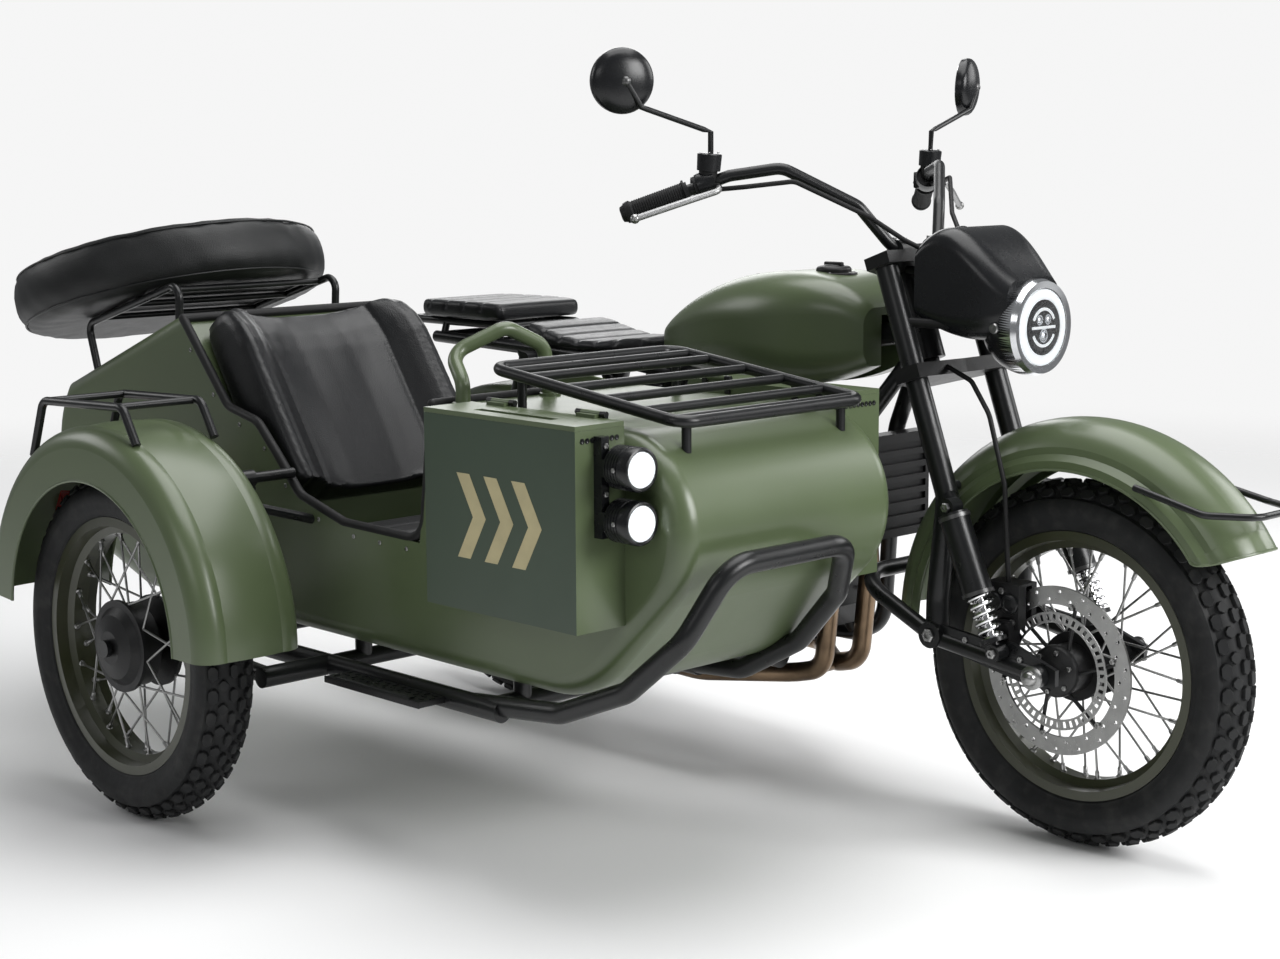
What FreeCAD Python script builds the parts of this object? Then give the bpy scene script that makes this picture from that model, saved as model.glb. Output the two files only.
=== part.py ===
import FreeCAD, Part
import Sketcher
import math
import os
from FreeCAD import Vector, Placement, Rotation

# Sidecar motorcycle.  All lengths in millimetres.
# Machine axes: X forward, Y to the rider's left, Z up, floor at Z = 0.
# Machine datum: below the front axle, in the middle plane of the motorcycle.

doc = FreeCAD.newDocument("sidecar_motorcycle")

SIZES = {
    "origin_back": 974, "origin_side": 327,
    "wheelbase": 1505, "wheel_radius": 330, "tyre_width": 115, "tyre_shoulder": 26,
    "rim_flange_radius": 241, "rim_width": 86, "rim_wall": 5, "bead_depth": 12,
    "spoke_count": 36, "spoke_radius": 2.2, "hub_flange_radius": 62, "hub_half": 38,
    "hub_radius": 34, "drum_radius": 86, "spring_wire": 4, "spring_turns": 6, "axle_radius": 9, "bearing_gap": 0.3, "stem_gap": 0.6,
    "disc_radius": 150, "disc_inner_radius": 118, "disc_thickness": 5, "disc_offset": 84,
    "running_gap": 6,
    "track": 1109, "wheel_lead": 168,
    "rake": 20, "steer_setback": 175, "head_radius": 30, "head_foot": 845, "head_top": 985,
    "leg_spread": 116, "leg_radius": 21, "leg_top": 1020, "leg_elbow": 615,
    "link_spread": 136, "link_pivot_back": 233, "link_pivot_height": 367, "link_radius": 15,
    "loop_back": 412, "loop_height": 452,
    "bar_radius": 11, "grip_radius": 17, "grip_length": 118,
    "mirror_radius": 58, "mirror_height": 1355, "mirror_out": 500,
    "lamp_radius": 86, "lamp_height": 920, "lamp_front": 118,
    "front_guard_radius": 402, "front_guard_width": 184, "guard_skin": 3,
    "side_guard_radius": 380, "side_guard_width": 215,
    "rear_guard_radius": 378, "rear_guard_width": 170,
    "frame_tube": 16, "chassis_tube": 19, "crash_tube": 18, "rack_tube": 10, "grab_tube": 13,
    "tank_front": 455, "tank_rear": 1010, "tank_top": 1000, "tank_half": 150,
    "saddle_height": 868, "pillion_height": 905,
    "tub_centre": 607, "tub_width": 515, "tub_skin": 8, "deck_height": 800, "tub_floor": 340,
    "nose_radius": 160, "nose_front": 150, "tub_edge": 36, "entry_radius": 55, "tub_side_wall": 16,
    "hatch_margin": 58, "lid_lap": 14, "hinge_radius": 5, "hinge_length": 44, "knuckle_gap": 0.6,
    "seat_recline": 35,
    "box_front": 280, "box_length": 370, "box_foot": 490, "box_height": 320, "box_depth": 105,
    "box_skin": 4, "lid_thickness": 8, "lid_gap": 0.3,
    "spare_radius": 335, "spare_thickness": 130, "spare_back": 1975, "spare_height": 950,
    "spare_tilt": 16,
    "seat_width": 440,
}

sheet = doc.addObject("Spreadsheet::Sheet", "Sizes")
for row, (alias, amount) in enumerate(SIZES.items(), 1):
    sheet.set("A%d" % row, alias)
    sheet.set("B%d" % row, str(amount))
    sheet.setAlias("B%d" % row, alias)
doc.recompute()


class Size(float):
    """A number that remembers the sheet expression it came from."""

    def __new__(cls, amount, text=None):
        item = float.__new__(cls, amount)
        item.text = text if text else repr(float(amount))
        return item

    def _join(self, sign, other, amount):
        other = other if isinstance(other, Size) else Size(other)
        return Size(amount, "(%s %s %s)" % (self.text, sign, other.text))

    def __add__(self, other):
        return self._join("+", other, float(self) + float(other))

    def __radd__(self, other):
        return Size(other) + self

    def __sub__(self, other):
        return self._join("-", other, float(self) - float(other))

    def __rsub__(self, other):
        return Size(other) - self

    def __mul__(self, other):
        return self._join("*", other, float(self) * float(other))

    def __rmul__(self, other):
        return Size(other) * self

    def __truediv__(self, other):
        return self._join("/", other, float(self) / float(other))

    def __neg__(self):
        return Size(-float(self), "(0 - %s)" % self.text)


def size(alias):
    return Size(sheet.get(alias), "Sizes." + alias)


def bind(item, path, amount):
    if isinstance(amount, Size) and "Sizes" in amount.text:
        item.setExpression(path, amount.text)


wheelbase = size("wheelbase")
wheel_radius = size("wheel_radius")
tub_centre = size("tub_centre")
track = size("track")
side_wheel_back = wheelbase - size("wheel_lead")
origin_back = size("origin_back")
origin_side = size("origin_side")


# Construction

def place(item, x=0.0, y=0.0, z=0.0, rotation=None):
    """Stand a sub-part at a machine position, seen from the object's own origin."""
    spot = (origin_back + x, origin_side + y, Size(0) + z)
    item.Placement = Placement(Vector(*[float(v) for v in spot]), rotation or Rotation())
    for axis, amount in zip("xyz", spot):
        bind(item, "Placement.Base." + axis, amount)


def new_body(label, x=0.0, y=0.0, z=0.0, rotation=None):
    body = doc.addObject("PartDesign::Body", label)
    body.Label = label
    place(body, x, y, z, rotation)
    return body


def origin_plane(body, role):
    return [item for item in body.Origin.OriginFeatures if item.Role == role][0]


def arc_between(start, through, end):
    """Counter-clockwise arc, and which of its ends is the start."""
    circle = Part.Arc(start, through, end).toShape().Curve
    centre = circle.Center
    turn = (through - start).cross(end - through).z
    first, last = (start, end) if turn > 0 else (end, start)
    begin = math.atan2(first.y - centre.y, first.x - centre.x)
    finish = math.atan2(last.y - centre.y, last.x - centre.x)
    if finish < begin:
        finish += 2 * math.pi
    curve = Part.Circle(centre, Vector(0, 0, 1), circle.Radius)
    return Part.ArcOfCircle(curve, begin, finish), ((1, 2) if turn > 0 else (2, 1))


def draw_outline(sketch, points):
    """Closed outline of lines, and of arcs where a point is marked "via"."""
    flat = [Vector(float(p[-2]), float(p[-1]), 0) for p in points]
    count = len(points)
    runs = []
    for index, point in enumerate(points):
        if point[0] == "via":
            continue
        follow = (index + 1) % count
        if points[follow][0] == "via":
            last = (index + 2) % count
            curve, ends = arc_between(flat[index], flat[follow], flat[last])
            runs.append((index, follow, sketch.addGeometry(curve, False), ends))
        else:
            line = Part.LineSegment(flat[index], flat[follow])
            runs.append((index, None, sketch.addGeometry(line, False), (1, 2)))
    for place_in_loop, run in enumerate(runs):
        after = runs[(place_in_loop + 1) % len(runs)]
        sketch.addConstraint(Sketcher.Constraint("Coincident", run[2], run[3][1], after[2], after[3][0]))
    for index, through, geometry, ends in runs:
        pin(sketch, geometry, ends[0], points[index])
        if through is not None:
            mark = sketch.addGeometry(Part.Point(flat[through]), True)
            sketch.addConstraint(Sketcher.Constraint("PointOnObject", mark, 1, geometry))
            pin(sketch, mark, 1, points[through])


def pin(sketch, geometry, end, point):
    for kind, amount in (("DistanceX", point[-2]), ("DistanceY", point[-1])):
        number = sketch.addConstraint(Sketcher.Constraint(kind, -1, 1, geometry, end, float(amount)))
        bind(sketch, "Constraints[%d]" % number, amount)


def draw_circle(sketch, x, y, radius):
    circle = Part.Circle(Vector(float(x), float(y), 0), Vector(0, 0, 1), float(radius))
    number = sketch.addGeometry(circle, False)
    pin(sketch, number, 3, (x, y))
    limit = sketch.addConstraint(Sketcher.Constraint("Radius", number, float(radius)))
    bind(sketch, "Constraints[%d]" % limit, radius)


def new_sketch(body, name, role, outlines=(), circles=(), offset=0.0):
    sketch = body.newObject("Sketcher::SketchObject", name)
    sketch.AttachmentSupport = [(origin_plane(body, role), "")]
    sketch.MapMode = "FlatFace"
    sketch.AttachmentOffset = Placement(Vector(0, 0, float(offset)), Rotation())
    bind(sketch, "AttachmentOffset.Base.z", offset)
    for outline in outlines:
        draw_outline(sketch, outline)
    for circle in circles:
        draw_circle(sketch, *circle)
    return sketch


def pad(body, name, sketch, length, midplane=True, reverse=False, kind="PartDesign::Pad"):
    feature = body.newObject(kind, name)
    feature.Profile = sketch
    feature.Length = float(length)
    feature.Midplane = midplane
    feature.Reversed = reverse
    bind(feature, "Length", length)
    body.Tip = feature
    return feature


def pocket(body, name, sketch, length, midplane=True, reverse=False):
    return pad(body, name, sketch, length, midplane, reverse, "PartDesign::Pocket")


def turn(body, name, sketch, angle=360.0, axis="H_Axis", kind="PartDesign::Revolution", midplane=False):
    feature = body.newObject(kind, name)
    feature.Profile = sketch
    feature.ReferenceAxis = (sketch, [axis])
    feature.Angle = float(angle)
    feature.Midplane = midplane
    body.Tip = feature
    return feature


def repeat_round(body, name, features, axis_role, count):
    pattern = body.newObject("PartDesign::PolarPattern", name)
    pattern.Originals = features
    axis = [item for item in body.Origin.OriginFeatures if item.Role == axis_role][0]
    pattern.Axis = (axis, [""])
    pattern.Angle = 360
    pattern.Occurrences = int(count)
    bind(pattern, "Occurrences", count)
    body.Tip = pattern
    return pattern


def soften(body, name, radius, wanted, kind="PartDesign::Fillet"):
    """Round the edges that the test picks."""
    doc.recompute()
    base = body.Tip
    edges = ["Edge%d" % (i + 1) for i, edge in enumerate(base.Shape.Edges) if wanted(edge)]
    feature = body.newObject(kind, name)
    feature.Base = (base, edges)
    if kind == "PartDesign::Fillet":
        feature.Radius = float(radius)
        bind(feature, "Radius", radius)
    else:
        feature.Size = float(radius)
        bind(feature, "Size", radius)
    body.Tip = feature
    return feature


def along(direction):
    """Edge test: a straight edge that runs in the given direction."""
    def test(edge):
        if not isinstance(edge.Curve, Part.Line):
            return False
        return edge.Curve.Direction.getAngle(direction) < 0.01 or edge.Curve.Direction.getAngle(-direction) < 0.01
    return test


def solid(label, pieces, x=0.0, y=0.0, z=0.0, rotation=None):
    """One sub-part from tubes and bars that are welded where they touch."""
    shape = pieces[0] if len(pieces) == 1 else pieces[0].multiFuse(pieces[1:])
    item = doc.addObject("Part::Feature", label)
    item.Shape = shape
    item.Label = label
    place(item, x, y, z, rotation)
    return item


def vec(*values):
    return Vector(*[float(value) for value in values])


def tube(points, radius, bend=40.0):
    """Round tube along straight runs with an arc at each corner."""
    corners = [vec(*point) for point in points]
    start = corners[0]
    edges = []
    for before, here, after in zip(corners, corners[1:], corners[2:]):
        back = (before - here)
        ahead = (after - here)
        shorter = min(back.Length, ahead.Length)
        back.normalize()
        ahead.normalize()
        half = back.getAngle(ahead) / 2
        if half > 1.565:
            continue
        arc_radius = min(bend, 0.45 * shorter * math.tan(half))
        cut = arc_radius / math.tan(half)
        middle = (back + ahead).normalize() * (arc_radius / math.sin(half) - arc_radius)
        edges.append(Part.makeLine(start, here + back * cut))
        edges.append(Part.Arc(here + back * cut, here + middle, here + ahead * cut).toShape())
        start = here + ahead * cut
    edges.append(Part.makeLine(start, corners[-1]))
    path = Part.Wire(edges)
    direction = corners[1] - corners[0]
    ring = Part.Wire([Part.makeCircle(float(radius), corners[0], direction)])
    return path.makePipeShell([ring], True, False)


def bar(start, end, radius):
    first, last = vec(*start), vec(*end)
    return Part.makeCylinder(float(radius), (last - first).Length, first, last - first)


def ball(centre, radius):
    return Part.makeSphere(float(radius), vec(*centre))


def block(low, high):
    first, last = vec(*low), vec(*high)
    return Part.makeBox(last.x - first.x, last.y - first.y, last.z - first.z, first)


def plate(points, thickness, y):
    """Flat plate in the XZ plane, its middle at the given Y."""
    corners = [vec(px, y - thickness / 2, pz) for px, pz in points]
    face = Part.Face(Part.makePolygon(corners + [corners[0]]))
    return face.extrude(vec(0, thickness, 0))


def both_sides(make):
    return [make(-1), make(1)]


def ring(centre, axis, outer, inner, length):
    """Tube ring centred on a point."""
    along_axis = vec(*axis).normalize()
    foot = vec(*centre) - along_axis * (float(length) / 2)
    body = Part.makeCylinder(float(outer), float(length), foot, along_axis)
    if inner <= 0:
        return body
    return body.cut(Part.makeCylinder(float(inner), float(length), foot, along_axis))


# Wheels

def build_tyre(label, x, y):
    half = size("tyre_width") / 2
    shoulder = size("tyre_shoulder")
    bead = size("rim_flange_radius") - size("bead_depth")
    seat = size("rim_width") / 2 - size("rim_wall")
    wall = 9.0
    body = new_body(label, x, y, wheel_radius)
    outline = [(-seat, bead), (-seat, bead + 14), ("via", -half, (bead + wheel_radius) / 2),
               (-half + 10, wheel_radius - shoulder), ("via", 0, wheel_radius),
               (half - 10, wheel_radius - shoulder), ("via", half, (bead + wheel_radius) / 2),
               (seat, bead + 14), (seat, bead), (seat - wall, bead), (seat - wall, bead + 16),
               ("via", half - wall, (bead + wheel_radius) / 2), (half - 18, wheel_radius - shoulder - 10),
               ("via", 0, wheel_radius - 12), (-half + 18, wheel_radius - shoulder - 10),
               ("via", -half + wall, (bead + wheel_radius) / 2), (-seat + wall, bead + 16), (-seat + wall, bead)]
    sketch = new_sketch(body, label + "_section", "YZ_Plane", [outline])
    turn(body, label + "_turned", sketch, axis="H_Axis")
    return body


def rim_points():
    half = size("rim_width") / 2
    flange = size("rim_flange_radius")
    wall = size("rim_wall")
    bed = flange - size("bead_depth")
    well = bed - 16
    return [(-half, flange), (-half + wall, flange), (-half + wall, bed), (-half + 22, bed - 2),
            (-12, well), (12, well), (half - 22, bed - 2), (half - wall, bed), (half - wall, flange),
            (half, flange), (half, bed - wall), (half - 22, bed - wall - 3), (14, well - wall),
            (-14, well - wall), (-half + 22, bed - wall - 3), (-half, bed - wall)]


def laced_wheel(label, x, y, flange):
    """Rim, hub and crossed wire spokes; a wide flange is a brake drum with a domed cover."""
    profile = [vec(0, py, pz) for py, pz in rim_points()]
    rim = Part.Face(Part.makePolygon(profile + [profile[0]])).revolve(Vector(), Vector(0, 1, 0), 360)
    half = size("hub_half")
    bore = size("axle_radius")
    hub = [ring((0, 0, 0), (0, 1, 0), size("hub_radius"), bore, 2 * half + 16)]
    for side in (-1, 1):
        hub.append(ring((0, side * half, 0), (0, 1, 0), flange, bore, 8))
    if flange > size("hub_flange_radius"):
        dome = [(bore, 0), (flange - 8, 0), (flange - 8, half), (flange - 26, half + 16), (bore + 22, half + 24),
                (bore, half + 24)]
        corners = [vec(radius, -reach, 0) for radius, reach in dome]
        hub.append(Part.Face(Part.makePolygon(corners + [corners[0]])).revolve(Vector(), Vector(0, 1, 0), 360))
    well = size("rim_flange_radius") - size("bead_depth") - 16 - size("rim_wall") + 1.5
    count = int(size("spoke_count"))
    spokes = []
    for number in range(count):
        side = 1 if number % 2 else -1
        lean = 38.0 if number % 4 < 2 else -38.0
        outer = math.radians(360.0 * number / count)
        inner = outer + math.radians(lean)
        hole = float(flange) - 8
        foot = (hole * math.cos(inner), side * float(half), hole * math.sin(inner))
        head = (float(well) * math.cos(outer), side * 8.0, float(well) * math.sin(outer))
        spokes.append(bar(foot, head, size("spoke_radius")))
    return solid(label, [rim] + hub + spokes, x, y, wheel_radius)


def build_disc(label, x, y):
    """Drilled brake disc on its carrier, on the wheel's right side."""
    thickness = size("disc_thickness")
    side = -1
    offset = side * float(size("disc_offset"))
    band = ring((0, offset, 0), (0, 1, 0), size("disc_radius"), size("disc_inner_radius"), thickness)
    middle = float(size("disc_radius") + size("disc_inner_radius")) / 2
    holes = []
    for number in range(36):
        angle = math.radians(10 * number)
        radius = middle + (7 if number % 2 else -7)
        holes.append(ring((radius * math.cos(angle), offset, radius * math.sin(angle)), (0, 1, 0), 3.5, 0, 20))
    pieces = [band.cut(Part.makeCompound(holes))]
    reach = float(size("hub_half")) + 8
    pieces.append(ring((0, (offset + side * reach) / 2, 0), (0, 1, 0), 44, size("axle_radius") + 14,
                       abs(offset) - reach + float(thickness)))
    for number in range(6):
        angle = math.radians(60 * number)
        foot = (40 * math.cos(angle), offset, 40 * math.sin(angle))
        tip_angle = angle + 0.25
        tip = (122 * math.cos(tip_angle), offset, 122 * math.sin(tip_angle))
        pieces.append(bar(foot, tip, thickness / 2 + 1))
    return solid(label, pieces, x, y, wheel_radius)


wheels = (("front", Size(0), Size(0)), ("rear", -wheelbase, Size(0)), ("sidecar", -side_wheel_back, -track))
for name, x, y in wheels:
    build_tyre(name + "_tyre", x, y)
    laced_wheel(name + "_rim", x, y, size("drum_radius" if name == "sidecar" else "hub_flange_radius"))
build_disc("front_disc", Size(0), Size(0))


# Steering

def steer_x(z):
    """Machine X of the steering axis at a height."""
    slope = math.tan(math.radians(float(size("rake"))))
    return -float(size("steer_setback")) - (float(z) - float(wheel_radius)) * slope


leg_ahead = 54.0
spread = float(size("leg_spread"))
link_spread = float(size("link_spread"))
leg_radius = float(size("leg_radius"))
pivot = (-float(size("link_pivot_back")), float(size("link_pivot_height")))
axle_radius = float(size("axle_radius") - size("bearing_gap"))


def leg_x(z):
    return steer_x(z) + leg_ahead


def build_fork_tubes():
    elbow = float(size("leg_elbow"))
    top = float(size("leg_top"))

    def leg(side):
        path = [(leg_x(top), side * spread, top), (leg_x(elbow), side * spread, elbow),
                (pivot[0] - 4, side * (spread + 8), pivot[1] + 60), (pivot[0], side * (link_spread - 6), pivot[1])]
        return tube(path, leg_radius, 60)
    pieces = both_sides(leg)
    for side in (-1, 1):
        low = leg_x(elbow)
        pieces.append(bar((low, side * spread, elbow + 6), (low + 40, side * (spread + 30), elbow - 5), 13))
    for side in (-1, 1):
        pieces.append(bar((leg_x(elbow) + 2, side * spread, elbow + 20),
                          (leg_x(elbow) + 2, side * (float(size("front_guard_width")) / 2 - 1), elbow + 20), 9))
    return solid("fork_tubes", pieces)


def build_yokes():
    pieces = []
    for height, thick in ((float(size("head_foot")) - 30, 26), (float(size("head_top")) + 30, 22)):
        centre = steer_x(height)
        outline = [(centre - 30, -26), (centre + leg_ahead - 26, -spread - 30), (centre + leg_ahead + 30, -spread - 30),
                   (centre + leg_ahead + 24, 0), (centre + leg_ahead + 30, spread + 30),
                   (centre + leg_ahead - 26, spread + 30), (centre - 30, 26)]
        corners = [vec(px, py, height - thick / 2) for px, py in outline]
        slab = Part.Face(Part.makePolygon(corners + [corners[0]])).extrude(vec(0, 0, thick))
        slab.rotate(vec(centre, 0, height), Vector(0, 1, 0), -float(size("rake")))
        for side in (-1, 1):
            slab = slab.cut(bar((leg_x(height - 60), side * spread, height - 60),
                                (leg_x(height + 60), side * spread, height + 60), leg_radius))
        pieces.append(slab)
    foot, top = float(size("head_foot")) - 30, float(size("head_top")) + 30
    stem = size("head_radius") - 12 - size("stem_gap")
    pieces.append(bar((steer_x(foot), 0, foot), (steer_x(top), 0, top), stem))
    for side in (-1, 1):
        pieces.append(bar((leg_x(925), side * spread, 925), (-165, side * 70, 921), 9))
        pieces.append(bar((steer_x(top) + leg_ahead, side * 60, top), (-290, side * 60, top - 2), 7))
    return solid("fork_yokes", pieces)


def build_link():
    loop_x, loop_z = -float(size("loop_back")), float(size("loop_height"))
    axle = float(wheel_radius)
    radius = float(size("link_radius"))
    pieces = [tube([(0, -link_spread, axle), (pivot[0], -link_spread, pivot[1] - 6),
                    (loop_x, -link_spread - 10, loop_z), (loop_x, link_spread + 10, loop_z),
                    (pivot[0], link_spread, pivot[1] - 6), (0, link_spread, axle)], radius, 70)]
    for side in (-1, 1):
        y = side * link_spread
        pieces.append(plate([(-8, axle - 24), (34, axle - 14), (34, axle + 14), (-60, axle + 48),
                             (-110, axle + 44), (pivot[0], pivot[1] + 22), (pivot[0] - 26, pivot[1] - 12)], 10, y))
        pieces.append(ring((pivot[0], y, pivot[1]), (0, 1, 0), 24, 0, 36))
    pieces.append(bar((0, -link_spread - 26, axle), (0, link_spread + 26, axle), axle_radius))
    for side in (-1, 1):
        pieces.append(ring((0, side * (link_spread + 16), axle), (0, 1, 0), 20, 0, 22))
    return solid("leading_link", pieces)


def spring(begin, end, radius):
    """Open coil between two seats, wound on the line between their middles."""
    line = end - begin
    turns = int(size("spring_turns"))
    wire = float(size("spring_wire"))
    pitch = line.Length / turns
    path = Part.makeHelix(pitch, line.Length, radius)
    angles = [math.radians(45 * number) for number in range(8)]
    section = [Vector(radius + wire * math.cos(angle), 0, wire * math.sin(angle)) for angle in angles]
    coil = Part.Wire(path.Edges).makePipeShell([Part.makePolygon(section + [section[0]])], True, True)
    coil.Placement = Placement(begin, Rotation(Vector(0, 0, 1), line))
    return coil


def build_front_shocks():
    axle = float(wheel_radius)
    pieces = []
    for side in (-1, 1):
        y = side * (link_spread + 22)
        top = vec(leg_x(float(size("leg_elbow"))) + 40, y, float(size("leg_elbow")) - 7)
        foot = vec(-78, y, axle + 32)
        line = foot - top
        length = line.Length
        line.normalize()
        pieces.append(Part.makeCylinder(9, length, top, line))
        pieces.append(Part.makeCylinder(27, length * 0.55, top + line * 12, line))
        pieces.append(spring(top + line * (12 + length * 0.55 - 3), top + line * (length - 22), 19))
        pieces.append(Part.makeCylinder(25, 8, top + line * (length - 26), line))
        pieces.append(ring(top, (0, 1, 0), 16, 0, 30))
        pieces.append(ring(foot, (0, 1, 0), 15, 0, 30))
    return solid("front_shocks", pieces)


def guard_outline(radius, width, skirt, corner, skin):
    """Section of a mudguard: crown and two skirts, in (Y, height over the axle)."""
    half = width / 2
    inner = half - skin
    crown = radius - skin
    return [(-half, skirt), (-half, radius - corner), ("via", -half + corner * 0.35, radius - corner * 0.3),
            (-half + corner * 1.25, radius - 4), ("via", 0, radius), (half - corner * 1.25, radius - 4),
            ("via", half - corner * 0.35, radius - corner * 0.3), (half, radius - corner), (half, skirt),
            (inner, skirt), (inner, radius - corner), ("via", inner - corner * 0.33, crown - corner * 0.3),
            (half - corner * 1.25, crown - 4), ("via", 0, crown), (-half + corner * 1.25, crown - 4),
            ("via", -inner + corner * 0.33, crown - corner * 0.3), (-inner, radius - corner), (-inner, skirt)]


def flared_outline(radius, width, skirt, skin):
    """Round crown over a step and an outward flange, in (Y, height over the axle)."""
    half = width / 2
    waist = half - 13
    step = skirt + 26
    crown = radius - skin
    return [(-half, skirt), (-half, skirt + 15), (-waist - 2, step), (-waist, step + 12),
            ("via", -waist * 0.72, radius - 17), (-waist * 0.34, radius - 3), ("via", 0, radius),
            (waist * 0.34, radius - 3), ("via", waist * 0.72, radius - 17), (waist, step + 12),
            (waist + 2, step), (half, skirt + 15), (half, skirt), (half - skin, skirt), (half - skin, skirt + 12),
            (waist - skin - 1, step - 3), (waist - skin, step + 11), ("via", waist * 0.72 - 2, crown - 17),
            (waist * 0.34, crown - 3), ("via", 0, crown), (-waist * 0.34, crown - 3),
            ("via", -waist * 0.72 + 2, crown - 17), (-waist + skin, step + 11), (-waist + skin + 1, step - 3),
            (-half + skin, skirt + 12), (-half + skin, skirt)]


def build_guard(label, radius, width, skirt, corner, begin, sweep, x, y, z):
    """Mudguard turned about its own centre from one angle over the top to another."""
    body = new_body(label, x, y, z, Rotation(Vector(0, 1, 0), begin))
    skin = size("guard_skin")
    if corner:
        outline = guard_outline(radius, width, skirt, corner, skin)
    else:
        outline = flared_outline(radius, width, skirt, skin)
    sketch = new_sketch(body, label + "_section", "YZ_Plane", [outline])
    turn(body, label + "_turned", sketch, sweep)
    return body


def build_headlamp():
    body = new_body("headlamp", -size("lamp_front"), 0, size("lamp_height"))
    radius = size("lamp_radius")
    outline = [(0, 0), (0, radius - 16), (8, radius - 16), (10, radius - 4), (0, radius), (-26, radius),
               ("via", -74, radius * 0.76), (-104, 20), (-104, 0)]
    sketch = new_sketch(body, "headlamp_section", "XZ_Plane", [outline])
    turn(body, "headlamp_turned", sketch, 360)
    return body


def rounded_section(half, low, high, corner):
    """Closed section in (Y, Z) with round corners."""
    cut = corner * 0.293
    return [(-half + corner, low), (half - corner, low), ("via", half - cut, low + cut), (half, low + corner),
            (half, high - corner), ("via", half - cut, high - cut), (half - corner, high), (-half + corner, high),
            ("via", -half + cut, high - cut), (-half, high - corner), (-half, low + corner),
            ("via", -half + cut, low + cut)]


def build_cowl():
    """Shroud that wraps the lamp and carries the instrument."""
    body = new_body("headlamp_cowl", 0, 0, 0)
    stations = [(-132, 78, 912, 1008, 40), (-175, 96, 898, 1046, 44), (-235, 106, 900, 1090, 40),
                (-312, 112, 930, 1062, 26)]
    sections = [new_sketch(body, "cowl_section_%d" % number, "YZ_Plane", [rounded_section(half, low, high, corner)],
                           offset=x) for number, (x, half, low, high, corner) in enumerate(stations)]
    loft = body.newObject("PartDesign::AdditiveLoft", "cowl_shell")
    loft.Profile = sections[0]
    loft.Sections = sections[1:]
    body.Tip = loft
    return body


def build_handlebar():
    radius = float(size("bar_radius"))

    def half(side):
        return [(-398, 0, 1048), (-398, side * 62, 1048), (-440, side * 118, 1130), (-528, side * 228, 1200),
                (-602, side * 290, 1186), (-726, side * 420, 1122)]
    left, right = half(1), half(-1)
    pieces = [tube(list(reversed(right)) + left[1:], radius, 45)]
    for side in (-1, 1):
        pieces.append(bar((-384, side * 50, 1026), (-398, side * 50, 1048), 13))
        pieces.append(ring((-398, side * 50, 1048), (0, 1, 0), 20, 0, 24))
    return solid("handlebar", pieces)


def grip_end(side, reach):
    """A point on the straight end of the handlebar, measured from its tip."""
    tip = vec(-726, side * 420, 1122)
    root = vec(-602, side * 290, 1186)
    line = (root - tip).normalize()
    return tip + line * reach, line


def build_controls():
    pieces = []
    for side in (-1, 1):
        tip, line = grip_end(side, -6)
        pieces.append(Part.makeCylinder(float(size("grip_radius")), float(size("grip_length")), tip, line))
        lever_root, _ = grip_end(side, float(size("grip_length")) + 30)
        pieces.append(Part.makeCylinder(21, 34, grip_end(side, float(size("grip_length")) + 6)[0], line))
        fore = lever_root + vec(46, 0, -8)
        pieces.append(tube([lever_root, fore, fore + vec(-30, side * 60, -20), fore + vec(-80, side * 150, -52)], 6, 20))
        pieces.append(bar(lever_root, lever_root + vec(6, 0, 44), 17))
    return solid("handlebar_controls", pieces)


def build_mirrors():
    pieces = []
    height, out = float(size("mirror_height")), float(size("mirror_out"))
    for side in (-1, 1):
        root, _ = grip_end(side, float(size("grip_length")) + 36)
        pieces.append(tube([root + vec(6, 0, 30), root + vec(20, side * 6, 90), vec(-655, side * (out - 30), height - 20),
                            vec(-672, side * out, height)], 5, 20))
        facing = vec(-1, side * 0.12, 0.05)
        facing.normalize()
        back = vec(-664, side * out, height)
        pieces.append(Part.makeCylinder(float(size("mirror_radius")), 12, back, facing))
    return solid("mirrors", pieces)


def build_caliper():
    axle = float(wheel_radius)
    offset = -float(size("disc_offset"))
    gap = float(size("running_gap")) + float(size("disc_thickness")) / 2
    housing = block((-138, offset - gap - 22, axle + 66), (-66, offset + gap + 14, axle + 146))
    housing = housing.cut(ring((0, offset, axle), (0, 1, 0), size("disc_radius") + size("running_gap"), 0, 2 * gap))
    lug = block((-106, -link_spread + 5, axle + 20), (-74, offset - gap - 4, axle + 82))
    return solid("front_caliper", [housing, lug])


def build_front_rail():
    """Thin guard rail round the tip of the front mudguard."""
    path = [(150, 93), (290, 101), (366, 60), (366, 0)]
    right = [(x, -y, 672 if x < 200 else 642) for x, y in path]
    left = [(x, -y, z) for x, y, z in reversed(right[:-1])]
    return solid("front_mudguard_rail", [tube(right[:-1] + left, 6, 40)])


def build_brake_hose():
    """Hose from the lower yoke past the mudguard's right side to the caliper."""
    path = [(-278, -56, 843), (-215, -66, 822), (-150, -98, 770), (-106, -108, 650), (-100, -105, 530),
            (-100, -98, 470)]
    return solid("brake_hose", [tube(path, 4.5, 40)])


def build_cables():
    """Control cables from the grips along the handlebar into the lamp's shroud."""
    pieces = []
    for side in (-1, 1):
        root, _ = grip_end(side, float(size("grip_length")) + 30)
        path = [root + vec(0, 0, -12), vec(-568, side * 288, 1166), vec(-500, side * 226, 1176),
                vec(-412, side * 122, 1112), vec(-360, side * 84, 1070), vec(-306, side * 66, 1044)]
        pieces.append(tube(path, 4.5, 30))
    return solid("control_cables", pieces)


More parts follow.
